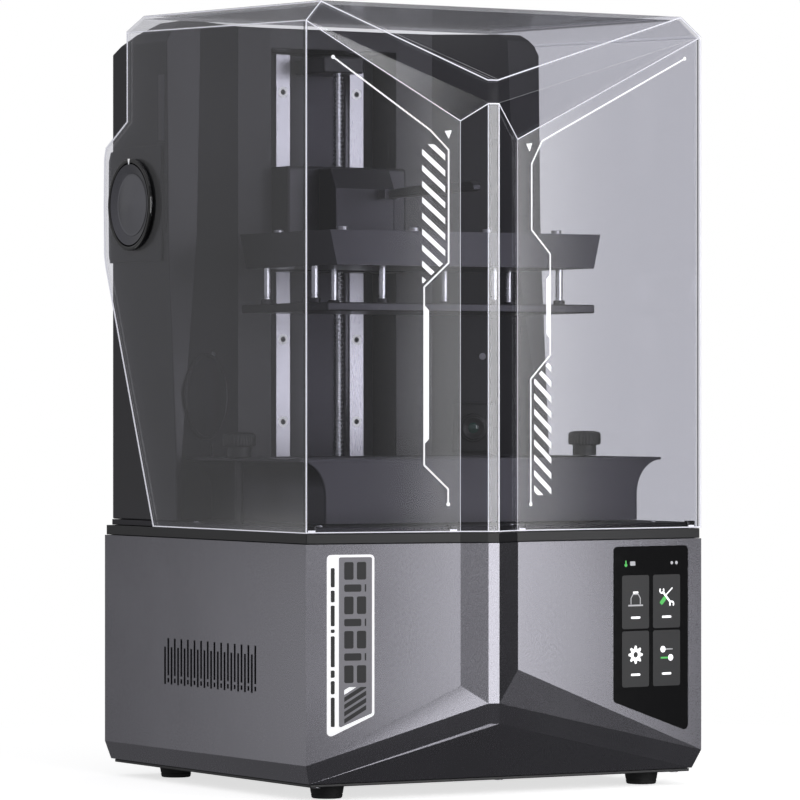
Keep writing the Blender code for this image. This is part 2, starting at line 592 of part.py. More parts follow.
# ---- vat ------------------------------------------------------------------------------------
def build_vat():
    """Open trough: walls flare out to a flat rim, and the floor is the film below it."""
    sections = ((128.0, (-92.0, 57.0), VAT_FLOOR, 10.0), (128.0, (-92.0, 57.0), 208.0, 10.0),
                (129.5, (-93.0, 58.0), 218.0, 11.5), (134.0, (-95.5, 59.5), 225.5, 15.0),
                (140.0, (-98.5, 61.0), 229.0, 18.0), (VAT_RIM_HALF, VAT_Y, VAT_RIM - 2.0, 24.0),
                (VAT_RIM_HALF, VAT_Y, VAT_RIM, 24.0),
                (125.5, (-89.5, 54.5), VAT_RIM, 8.0), (125.5, (-89.5, 54.5), VAT_FLOOR, 8.0))
    rings = [[(x, y, z) for x, y in rounded_rectangle(half, span, radius, 4)]
             for half, span, z, radius in sections]
    vat = loft("vat_body", "anodised_grey", rings + rings[:1])
    seam = vat.modifiers.new("weld", "WELD")
    seam.merge_threshold = 0.00001
    for side, label in ((-1, "left"), (1, "right")):
        cut_rod(vat, f"rim_hole_{label}", (side * KNOB_X, KNOB_Y, 230.0), 3.6, 20.0, segments=16)
    return vat


build_vat()
prism("release_film", "release_film", rounded_rectangle(127.0, (-91.0, 56.0), 9.0, 4), 186.8, 187.1)

for side, label in ((-1, "left"), (1, "right")):
    collar = VAT_RIM + GAP
    turned(f"vat_knob_{label}", "dark_plastic",
           [(0.0, 250.2), (KNOB_RADIUS - 1.5, 250.0), (KNOB_RADIUS, 248.5), (KNOB_RADIUS, 241.0),
            (KNOB_RADIUS - 1.0, 240.0), (8.6, 240.0), (8.6, collar), (3.0, collar), (3.0, 178.5),
            (0.0, 178.5)],
           (side * KNOB_X, KNOB_Y, 0.0))


# ---- lid ------------------------------------------------------------------------------------
LID_REAR_Y = 128.5
EAR = ((LID_REAR_Y, 474.0), (161.5, 456.0), (164.0, 448.0), (164.6, HINGE_Z), (164.0, 378.0), (162.0, 370.0))
EAR_PLATE = ((80.0, 372.0), (160.0, 372.0), (161.6, 378.0), (162.2, HINGE_Z), (161.6, 446.0), (158.6, 452.6),
             (128.0, 455.0), (80.0, 455.0))
LID_HEEL_Y = 88.0              # rear end of the side panels at the bottom


def build_lid():
    """Clear cover: faceted front and top, side panels that bulge round the hinge hubs."""
    crease = ((-147.0, -130.4, 544.2), (-29.0, -155.5, 493.0), (-22.2, -157.4, 493.0),
              (147.0, -130.4, 544.2))
    bm, ends = prow_skin(BAND_TOP + GAP, LID_HIGH_Z, crease, LID_REAR_Y, (538.6, 550.5))
    bm.faces.new((ends["front"][0], ends["front"][1], ends["fold"][1], ends["fold"][0]))
    for side, low, edge in zip((-1, 1), ends["low"], ends["edge"]):
        low.co.y = LID_HEEL_Y * MM
        rear = next(link for link in bm.edges if low in link.verts and edge in link.verts)
        for y, z in reversed(EAR):
            rear, corner = bmesh.utils.edge_split(rear, edge, 0.5)
            corner.co = Vector((side * HALF_WIDTH, y, z)) * MM
            rear = next(link for link in corner.link_edges if edge in link.verts)
    lid = place("lid", mesh_from(bm, "lid"), "clear_plastic")
    add_wall(lid, WALL)
    for side, label in ((-1, "left"), (1, "right")):
        hinge = (side * HALF_WIDTH, HINGE_Y, HINGE_Z)
        cut_rod(lid, f"hub_hole_{label}", hinge, LID_HOLE_RADIUS, 12.0, "X", 40)


build_lid()
HUB_PROFILE = ((0.0, 161.4), (22.0, 161.2), (26.0, 161.0), (29.0, HUB_FACE_X), (32.2, HUB_FACE_X),
               (HUB_RADIUS, 162.9), (HUB_RADIUS, HALF_WIDTH + GAP), (26.4, HALF_WIDTH + GAP), (26.4, 157.4),
               (8.4, 157.4), (8.4, 160.2), (0.0, 160.2))
for side, label in ((-1, "left"), (1, "right")):
    hub = turned(f"lid_hub_{label}", "dark_plastic", HUB_PROFILE, (0.0, 0.0, 0.0), segments=40)
    hub.matrix_world = (Matrix.Translation(Vector((0.0, HINGE_Y, HINGE_Z)) * MM)
                        @ Matrix.Rotation(side * math.pi / 2, 4, "Y"))
    inner, outer = sorted((side * 157.1, side * 158.4))
    plate = prism(f"hinge_plate_{label}", "tower_plastic", EAR_PLATE, inner, outer, "X")
    cut_rod(plate, f"plate_hole_{label}", (side * 157.7, HINGE_Y, HINGE_Z), LID_HOLE_RADIUS, 12.0, "X", 40)
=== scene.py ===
import math

import bmesh
import bpy
import numpy as np
from bpy.props import FloatProperty, FloatVectorProperty, IntProperty, PointerProperty
from mathutils import Matrix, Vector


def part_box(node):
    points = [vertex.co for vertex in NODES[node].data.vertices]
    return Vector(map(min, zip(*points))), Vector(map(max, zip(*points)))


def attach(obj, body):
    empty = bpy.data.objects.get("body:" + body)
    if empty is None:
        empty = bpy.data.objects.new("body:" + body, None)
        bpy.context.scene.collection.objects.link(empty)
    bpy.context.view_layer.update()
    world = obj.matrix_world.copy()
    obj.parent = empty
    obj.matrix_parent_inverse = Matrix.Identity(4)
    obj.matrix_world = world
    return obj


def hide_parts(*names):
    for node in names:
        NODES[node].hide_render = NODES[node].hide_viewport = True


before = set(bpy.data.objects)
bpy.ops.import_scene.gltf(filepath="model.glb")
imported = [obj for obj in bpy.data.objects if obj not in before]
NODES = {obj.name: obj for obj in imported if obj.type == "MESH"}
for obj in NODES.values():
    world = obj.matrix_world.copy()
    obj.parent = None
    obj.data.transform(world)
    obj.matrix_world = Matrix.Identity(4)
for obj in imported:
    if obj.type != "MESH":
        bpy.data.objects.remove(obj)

bl_info = {
    "name": "Resin printer looks",
    "version": (1, 0, 0),
    "blender": (4, 5, 0),
    "location": "3D View > Sidebar > Resin printer",
    "description": "Builds the visible pieces, finishes and studio of a resin printer around its frame",
    "category": "Object",
}

MM = 0.001


# ---- colours, shader nodes ------------------------------------------------------------------
def linear(code):
    """Turns an sRGB hex colour into linear red, green and blue."""
    parts = np.array([int(code[i:i + 2], 16) for i in (1, 3, 5)]) / 255
    low, high = parts / 12.92, ((parts + 0.055) / 1.055) ** 2.4
    return tuple(float(x) for x in np.where(parts <= 0.04045, low, high))


def rgba(colour):
    """A linear colour with full opacity, as a shader socket takes it."""
    return (*colour, 1.0)


def add_node(tree, kind, inputs=None, **settings):
    """Adds a shader node: settings are its properties, inputs its sockets, each a value or a link."""
    made = tree.nodes.new(f"ShaderNode{kind}")
    for name, value in settings.items():
        setattr(made, name, value)
    for key, value in (inputs or {}).items():
        if isinstance(value, bpy.types.NodeSocket):
            tree.links.new(value, made.inputs[key])
        else:
            made.inputs[key].default_value = value
    return made


def new_material(name):
    """An empty node material, its tree and the object's own coordinates."""
    material = bpy.data.materials.new(name)
    material.use_nodes = True
    tree = material.node_tree
    tree.nodes.clear()
    return material, tree, add_node(tree, "TexCoord").outputs["Object"]


def ranged(tree, value, start, end, low, high):
    """Maps a value from one range to another."""
    return add_node(tree, "MapRange", {"Value": value, "From Min": start, "From Max": end, "To Min": low,
                                       "To Max": high}).outputs[0]


def solid_finish(name, colour, roughness, grain_mm, metallic=0.0, spread=0.08, relief=0.15, uneven=0.06,
                 stretch=(1.0, 1.0, 1.0), coat=0.0, glow=0.0):
    """An opaque finish whose grain, in millimetres, varies its colour, gloss and height.

    spread is how far the grain lightens and darkens the colour, uneven how far it moves the
    roughness, relief the depth of the bump and stretch the grain's scale along each axis; glow is
    painted light, an even glow that a bright ink or an edge gives on top of what falls on it.
    """
    material, tree, place = new_material(name)
    scaled = add_node(tree, "Mapping", {"Vector": place, "Scale": stretch}).outputs["Vector"]
    grain = add_node(tree, "TexNoise", {"Vector": scaled, "Scale": 1 / (grain_mm * MM),
                                        "Detail": 2.0, "Roughness": 0.6})
    cloud = add_node(tree, "TexNoise", {"Vector": place, "Scale": 9.0, "Detail": 3.0})
    both = add_node(tree, "Math", {0: grain.outputs["Fac"], 1: cloud.outputs["Fac"]},
                    operation="ADD")
    shade = ranged(tree, both.outputs[0], 0.6, 1.4, 0.0, 1.0)
    dark = tuple(c * (1 - spread) for c in colour)
    light = tuple(min(1.0, c * (1 + spread)) for c in colour)
    tint = add_node(tree, "Mix", {0: shade, 6: rgba(dark), 7: rgba(light)},
                    data_type="RGBA")
    gloss = ranged(tree, both.outputs[0], 0.6, 1.4, max(0.02, roughness - uneven),
                   min(1.0, roughness + uneven))
    bump = add_node(tree, "Bump", {"Strength": relief, "Distance": grain_mm * MM * 0.2,
                                   "Height": grain.outputs["Fac"]})
    shader = add_node(tree, "BsdfPrincipled", {
        "Base Color": tint.outputs[2], "Roughness": gloss, "Normal": bump.outputs[0],
        "Metallic": metallic, "Coat Weight": coat, "Emission Color": rgba(colour),
        "Emission Strength": glow})
    add_node(tree, "OutputMaterial", {"Surface": shader.outputs[0]})
    return material


def clear_finish(name, tint, gloss, roughness, haze, haze_colour):
    """A see-through sheet: what passes is tinted, each face mirrors by its angle, and haze scatters."""
    material, tree, place = new_material(name)
    wave = add_node(tree, "TexNoise", {"Vector": place, "Scale": 6.0, "Detail": 1.0})
    bump = add_node(tree, "Bump", {"Strength": 0.02, "Distance": 0.002,
                                   "Height": wave.outputs["Fac"]})
    passed = add_node(tree, "BsdfTransparent", {"Color": rgba(tint)})
    mirror = add_node(tree, "BsdfGlossy", {"Color": rgba((1, 1, 1)), "Roughness": roughness,
                                           "Normal": bump.outputs[0]})
    inside = add_node(tree, "NewGeometry").outputs["Backfacing"]
    angle = add_node(tree, "Fresnel", {"IOR": ranged(tree, inside, 0.0, 1.0, gloss, 1 / gloss)})
    sheet = add_node(tree, "MixShader", {0: angle.outputs[0], 1: passed.outputs[0],
                                         2: mirror.outputs[0]})
    dust = add_node(tree, "TexNoise", {"Vector": place, "Scale": 40.0, "Detail": 3.0})
    amount = ranged(tree, dust.outputs["Fac"], 0.3, 0.7, haze * 0.7, haze * 1.3)
    scatter = add_node(tree, "BsdfDiffuse", {"Color": rgba(haze_colour)})
    mixed = add_node(tree, "MixShader", {0: amount, 1: sheet.outputs[0],
                                         2: scatter.outputs[0]})
    add_node(tree, "OutputMaterial", {"Surface": mixed.outputs[0]})
    return material


def lit_finish(name, colour, strength):
    """A backlit or self-lit surface with a slightly uneven glow."""
    material, tree, place = new_material(name)
    cell = add_node(tree, "TexNoise", {"Vector": place, "Scale": 300.0, "Detail": 1.0})
    level = ranged(tree, cell.outputs["Fac"], 0.0, 1.0, strength * 0.9, strength * 1.1)
    shader = add_node(tree, "BsdfPrincipled", {
        "Base Color": rgba(colour), "Roughness": 0.4, "Emission Color": rgba(colour),
        "Emission Strength": level})
    add_node(tree, "OutputMaterial", {"Surface": shader.outputs[0]})
    return material


def spun_finish(name, colour, roughness, centre, ring_mm):
    """Metal turned on a lathe: fine rings about X and a highlight that fans out from the centre.

    A wave texture of scale s has rings 0.314 / s metres apart.
    """
    material, tree, place = new_material(name)
    arm = add_node(tree, "VectorMath", {0: place, 1: centre}, operation="SUBTRACT").outputs[0]
    around = add_node(tree, "VectorMath", {0: arm, 1: (1.0, 0.0, 0.0)}, operation="CROSS_PRODUCT")
    tangent = add_node(tree, "VectorMath", {0: around.outputs[0]}, operation="NORMALIZE")
    rings = add_node(tree, "TexWave", {"Vector": arm, "Scale": 0.314 / (ring_mm * MM),
                                       "Distortion": 0.3}, wave_type="RINGS", rings_direction="X")
    bump = add_node(tree, "Bump", {"Strength": 0.12, "Distance": 0.0001,
                                   "Height": rings.outputs["Fac"]})
    tint = add_node(tree, "Mix", {0: rings.outputs["Fac"], 6: rgba(tuple(c * 0.8 for c in colour)),
                                  7: rgba(colour)}, data_type="RGBA")
    shader = add_node(tree, "BsdfPrincipled", {
        "Base Color": tint.outputs[2], "Metallic": 1.0, "Roughness": roughness, "Anisotropic": 0.85,
        "Tangent": tangent.outputs[0], "Normal": bump.outputs[0]})
    add_node(tree, "OutputMaterial", {"Surface": shader.outputs[0]})
    return material


# ---- the panels' planes ---------------------------------------------------------------------
HALF_WIDTH, FRONT_CORNER_Y = 161.1, -134.8
RIDGE = ((-49.9, -153.5), (-32.6, -162.0), (-25.5, -164.6), (-2.7, -152.2))
PANEL_ENDS = {-1: ((-HALF_WIDTH, FRONT_CORNER_Y), RIDGE[0]), 1: (RIDGE[3], (HALF_WIDTH, FRONT_CORNER_Y))}
HINGE = (0.0, 120.1, 413.3)


def limits(node):
    """Lowest and highest corner of a frame piece in millimetres."""
    low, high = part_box(node)
    return np.array(low) / MM, np.array(high) / MM


def on_panel(side):
    """Returns a function that lays (x, z, height) on the left or right front panel.

    The point keeps its x and z, stands on the line between the panel's two plan corners, and
    moves out along the panel's normal by height.
    """
    (x0, y0), (x1, y1) = PANEL_ENDS[side]
    length = math.hypot(x1 - x0, y1 - y0)
    normal = ((y1 - y0) / length, -(x1 - x0) / length)

    def put(points):
        x, z, height = points[..., 0], points[..., 1], points[..., 2]
        y = y0 + (y1 - y0) * (x - x0) / (x1 - x0)
        return np.stack([x + normal[0] * height, y + normal[1] * height, z], -1)
    return put


def on_axes(origin, across, up, out):
    """Returns a function that lays (a, b, c) at origin + a across + b up + c out."""
    axes = np.array([across, up, out], float)

    def put(points):
        return np.asarray(origin, float) + points @ axes
    return put


UP = ((1, 0, 0), (0, 1, 0), (0, 0, 1))
DOWN = ((1, 0, 0), (0, -1, 0), (0, 0, -1))
BACK = ((-1, 0, 0), (0, 0, 1), (0, 1, 0))
FRONT = ((1, 0, 0), (0, 0, 1), (0, -1, 0))


def stand(node):
    """Returns a function that lays points about the upright axis through a frame piece's middle."""
    low, high = limits(node)
    return on_axes((*(low + high)[:2] / 2, 0.0), *UP)


# ---- surfaces on grids ----------------------------------------------------------------------
def unit(vectors):
    """The same directions with length 1."""
    return vectors / np.linalg.norm(vectors, axis=-1, keepdims=True)


def grid_faces(rows, columns, wrap_rows, wrap_columns):
    """Quads of a grid of points, joined end to start where a direction wraps round."""
    i, j = np.meshgrid(np.arange(rows if wrap_rows else rows - 1),
                       np.arange(columns if wrap_columns else columns - 1), indexing="ij")
    i2, j2 = (i + 1) % rows, (j + 1) % columns
    corners = [i * columns + j, i * columns + j2, i2 * columns + j2, i2 * columns + j]
    return np.stack(corners, -1).reshape(-1, 4)


def layers(rows, axis=0):
    """Flat outlines, each paired with its height, as rows of 3-D points."""
    return np.stack([np.column_stack([flat, np.full(len(flat), height)]) for flat, height in rows], axis)


def patch(points, wrap_rows=False, wrap_columns=True, slot=0):
    """One closed surface of a piece: its points in rows and columns, and the slot of its finish."""
    rows, columns = points.shape[:2]
    return points.reshape(-1, 3), grid_faces(rows, columns, wrap_rows, wrap_columns), slot


def piece(name, patches, finishes, body, replaces=(), smooth=35.0):
    """Makes one object from patches, in millimetres, closes its poles and turns its faces out."""
    points, faces, slots, start = [], [], [], 0
    for co, quads, number in patches:
        points.append(co)
        faces.append(quads + start)
        slots.append(np.full(len(quads), number))
        start += len(co)
    mesh = bpy.data.meshes.new(name)
    mesh.from_pydata((np.concatenate(points) * MM).tolist(), [], np.concatenate(faces).tolist())
    mesh.polygons.foreach_set("material_index", np.concatenate(slots).astype(np.int32))
    for material in finishes:
        mesh.materials.append(FINISHES[material])
    bm = bmesh.new()
    bm.from_mesh(mesh)
    bmesh.ops.remove_doubles(bm, verts=bm.verts, dist=0.000002)
    bmesh.ops.dissolve_degenerate(bm, dist=0.000001, edges=bm.edges)
    bmesh.ops.recalc_face_normals(bm, faces=bm.faces)
    bm.to_mesh(mesh)
    bm.free()
    mesh.shade_smooth()
    mesh.set_sharp_from_angle(angle=math.radians(smooth))
    made = bpy.data.objects.new(name, mesh)
    bpy.context.scene.collection.objects.link(made)
    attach(made, body)
    if replaces:
        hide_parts(*replaces)


def round_edges(made, width, slot=-1):
    """Rounds the edges of a piece with a live bevel; slot names the finish of the rounded strip."""
    edge = made.modifiers.new("rounded_edges", "BEVEL")
    edge.width = width * MM
    edge.segments = 2
    edge.limit_method = "ANGLE"
    edge.angle_limit = math.radians(35.0)
    edge.material = slot
    edge.harden_normals = False


def dress(node, finishes, bevel, slot=-1):
    """Gives a frame piece its finishes and rounds its edges; its own mesh stays as it is."""
    made = NODES[node]
    made.data.materials.clear()
    for name in finishes:
        made.data.materials.append(FINISHES[name])
    if bevel:
        weld = made.modifiers.new("weld", "WELD")
        weld.merge_threshold = 0.00001
        flat = made.modifiers.new("flat_faces", "DECIMATE")
        flat.decimate_type = "DISSOLVE"
        flat.angle_limit = math.radians(0.5)
        round_edges(made, bevel, slot)


def circle(steps):
    """Points of a circle of radius 1."""
    angle = np.arange(steps) * 2 * np.pi / steps
    return np.stack([np.cos(angle), np.sin(angle)], -1)


def turned(profile, put, steps=48, ripple=None):
    """A profile of (radius, height) turned about the local out axis.

    The point of row i at angle t is (r_i cos t, r_i sin t, h_i); ripple, a function of the row's
    share and the angle, is added to the radius.
    """
    profile = np.asarray(profile, float)
    angle = np.arange(steps) * 2 * np.pi / steps
    radius = np.repeat(profile[:, :1], steps, 1)
    if ripple is not None:
        radius = radius + ripple(radius, angle[None, :]) * (radius > 0)
    height = np.repeat(profile[:, 1:], steps, 1)
    return patch(put(np.stack([radius * np.cos(angle), radius * np.sin(angle), height], -1)))


def slab(outline, low, high, put, edge=0.0, slot=0):
    """A flat plate of any star-shaped outline between two heights, its rims drawn in by edge.

    Rows run from the pole under the outline's middle, out along the bottom, up the side and back
    to the pole on top; a rim point moves towards the middle by edge.
    """
    outline = np.asarray(outline, float)
    middle = outline.mean(0)
    inward = outline - unit(outline - middle) * edge
    rows = [(np.repeat(middle[None], len(outline), 0), low), (inward, low)]
    if edge:
        rows += [(outline, low + edge), (outline, high - edge)]
    rows += [(inward, high), (np.repeat(middle[None], len(outline), 0), high)]
    return patch(put(layers(rows)), slot=slot)


def ribbon(path, width, low, high, put, closed=False, slot=0):
    """A flat strip along a path of (a, b): each corner moves half the width along its mitre."""
    path = np.asarray(path, float)
    width = np.broadcast_to(np.asarray(width, float), (len(path),))
    ahead = np.roll(path, -1, 0) - path
    behind = path - np.roll(path, 1, 0)
    if not closed:
        ahead[-1], behind[0] = behind[-1], ahead[0]
    side = unit(unit(ahead) + unit(behind))[:, ::-1] * (-1, 1)
    lean = np.sum(side * (unit(ahead)[:, ::-1] * (-1, 1)), 1)
    reach = (side / lean[:, None]) * width[:, None] / 2
    left, right = path + reach, path - reach
    grid = layers([(left, low), (left, high), (right, high), (right, low)], 1)
    if not closed:
        grid = np.concatenate([grid[:1].mean(1, keepdims=True).repeat(4, 1), grid,
                               grid[-1:].mean(1, keepdims=True).repeat(4, 1)])
    return patch(put(grid), wrap_rows=closed, slot=slot)


def tube(path, radius, across, closed=False, steps=8, slot=0):
    """A round bar along a path of 3-D corners: rings square to the mean of the legs that meet there.

    across is a direction that no leg runs along; it fixes where each ring starts.
    """
    path = np.asarray(path, float)
    ahead = np.roll(path, -1, 0) - path
    behind = path - np.roll(path, 1, 0)
    if not closed:
        ahead[-1], behind[0] = behind[-1], ahead[0]
    along = unit(unit(ahead) + unit(behind))
    one = unit(np.cross(along, across))
    two = np.cross(along, one)
    turn = circle(steps) * radius
    grid = path[:, None] + turn[None, :, :1] * one[:, None] + turn[None, :, 1:] * two[:, None]
    if not closed:
        grid = np.concatenate([path[:1, None].repeat(steps, 1), grid, path[-1:, None].repeat(steps, 1)])
    return patch(grid, wrap_rows=closed, slot=slot)


def clip(shape, normal, limit):
    """The part of a convex outline where normal . point >= limit."""
    kept = []
    for a, b in zip(shape, [*shape[1:], shape[0]]):
        here, there = np.dot(normal, a) - limit, np.dot(normal, b) - limit
        if here >= 0:
            kept.append(tuple(a))
        if here * there < 0:
            kept.append(tuple(np.asarray(a) + (np.asarray(b) - a) * here / (here - there)))
    return kept


def round_corners(corners, radius, steps=5):
    """Replaces each corner of an outline by an arc of that radius that touches both its sides."""
    corners = np.asarray(corners, float)
    before, after = np.roll(corners, 1, 0), np.roll(corners, -1, 0)
    one, two = unit(before - corners), unit(after - corners)
    half = np.arccos(np.clip(np.sum(one * two, 1), -1, 1)) / 2
    reach = radius / np.tan(half)
    centre = corners + unit(one + two) * (radius / np.sin(half))[:, None]
    first = corners + one * reach[:, None] - centre
    last = corners + two * reach[:, None] - centre
    share = np.linspace(0, 1, steps)[None, :, None]
    swing = (np.pi - 2 * half)[:, None, None]
    arc = np.sin((1 - share) * swing) * first[:, None] + np.sin(share * swing) * last[:, None]
    return (centre[:, None] + arc / np.sin(swing)).reshape(-1, 2)


def box_outline(x0, x1, y0, y1):
    """Corners of an upright rectangle."""
    return [(x0, y0), (x1, y0), (x1, y1), (x0, y1)]


def rounded_box(low, high, radius, put=None, steps=4, slot=0):
    """A block with round edges: a ball's grid of directions, moved out to the block's corners.

    The point in direction d is centre + sign(d) * (half size - radius) + radius * d.
    """
    low, high = np.asarray(low, float), np.asarray(high, float)
    centre, half = (low + high) / 2, (high - low) / 2
    turn = np.concatenate([np.linspace(q, q + np.pi / 2, steps + 1) for q in np.arange(4) * np.pi / 2])
    tilt = np.concatenate([np.linspace(-np.pi / 2, 0, steps + 1), np.linspace(0, np.pi / 2, steps + 1)])
    quarter = np.repeat(np.arange(4), steps + 1)
    sign_x, sign_y = np.where((quarter == 0) | (quarter == 3), 1, -1), np.where(quarter < 2, 1, -1)
    sign_z = np.repeat([-1, 1], steps + 1)
    core = half - radius
    x = core[0] * sign_x + radius * np.cos(tilt)[:, None] * np.cos(turn)
    y = core[1] * sign_y + radius * np.cos(tilt)[:, None] * np.sin(turn)
    z = np.broadcast_to((core[2] * sign_z + radius * np.sin(tilt))[:, None], x.shape)
    body = np.stack([x, y, z], -1)
    poles = [np.broadcast_to([0, 0, sign * half[2]], body[:1].shape) for sign in (-1, 1)]
    grid = np.concatenate([poles[0], body, poles[1]]) + centre
    return patch(put(grid) if put else grid, slot=slot)


def hex_radius(across, angle):
    """Distance from the middle of a hexagon to its side at an angle."""
    return across / 2 / np.cos(np.mod(angle, np.pi / 3) - np.pi / 6)


def socket_screw(put, radius, height, socket, depth, steps=24):
    """A cap screw's head: a turned cap whose inner rows follow a hexagon down into its socket."""
    angle = np.arange(steps) * 2 * np.pi / steps
    ring = np.ones(steps)
    hexagon = hex_radius(socket, angle)
    rows = [(0 * ring, 0.0), (radius * ring, 0.0), (radius * ring, height - 0.3),
            ((radius - 0.3) * ring, height), (hexagon * 1.04, height), (hexagon, height - 0.1),
            (hexagon, height - depth), (0 * ring, height - depth)]
    return patch(put(layers([(circle(steps) * r[:, None], h) for r, h in rows])))


def screws(name, puts, size, body="base", finish="ground_steel"):
    """One piece of like cap screws; size is a head's radius and height, and its socket's width and depth."""
    piece(name, [socket_screw(put, *size) for put in puts], [finish], body)


# ---- sizes and colours a user would change --------------------------------------------------
def length_property(name, text, value):
    """A length in the panel, its default given in millimetres."""
    return FloatProperty(name=name, description=text, default=value * MM, unit="LENGTH", precision=5)


def colour_property(name, text, code):
    """A colour in the panel, its default given as sRGB hex."""
    return FloatVectorProperty(name=name, description=text, default=linear(code), subtype="COLOR",
                               min=0.0, max=1.0)


class PrinterSizes(bpy.types.PropertyGroup):
    """Sizes of the visible detail."""

    edge_round: length_property("Edge rounding", "Width of the rounding on painted edges", 0.45)
    lid_edge: length_property("Lid edge", "Width of the lid's polished edges", 0.9)
    print_line: length_property("Printed line", "Width of the lines printed on the lid", 1.1)
    print_thick: length_property("Ink thickness", "Height of the printed ink", 0.12)
    thread_pitch: length_property("Thread pitch", "Distance between two turns of the lead screw", 3.1)
    thread_depth: length_property("Thread depth", "Depth of the lead screw's thread", 1.3)
    vat_flare: length_property("Vat flare", "Height over which the vat's wall flares out", 24.0)
    knob_ribs: IntProperty(name="Knob ribs", description="Ribs round a vat knob", default=30, min=6)
    screw_pitch: length_property("Rail screw pitch", "Distance between two screws of a rail", 60.6)


class PrinterColours(bpy.types.PropertyGroup):
    """Colours of the finishes."""

    housing: colour_property("Housing", "Powder coat of the base", "#84838a")
    tower: colour_property("Tower", "Moulded cover of the tower", "#323136")
    dark: colour_property("Dark plastic", "Band, knobs and small mouldings", "#1d1d20")
    anodised: colour_property("Anodised parts", "Vat, carriage and platform", "#434247")
    lid: colour_property("Lid tint", "What one face of the lid lets through", "#efeff2")
    ink: colour_property("Ink", "Printing on the lid and the label", "#f4f4f6")
    accent: colour_property("Accent", "Green of the screen's icons", "#46a24e")


class PrinterStudio(bpy.types.PropertyGroup):
    """Light and camera."""

    key_light: FloatProperty(name="Key light", description="Brightness of the large front panel light",
                             default=2.3, min=0.0)
    ridge_light: FloatProperty(name="Ridge light", description="Brightness of the narrow light on the ridge",
                               default=6.5, min=0.0)
    fill_light: FloatProperty(name="Fill light", description="Brightness of the side light", default=0.6,
                              min=0.0)
    room_light: FloatProperty(name="Room light", description="Brightness of the studio's walls",
                              default=0.34, min=0.0)
    lens: FloatProperty(name="Focal length", description="Focal length in millimetres", default=226.9,
                        min=10.0, unit="CAMERA")


FINISHES = {}


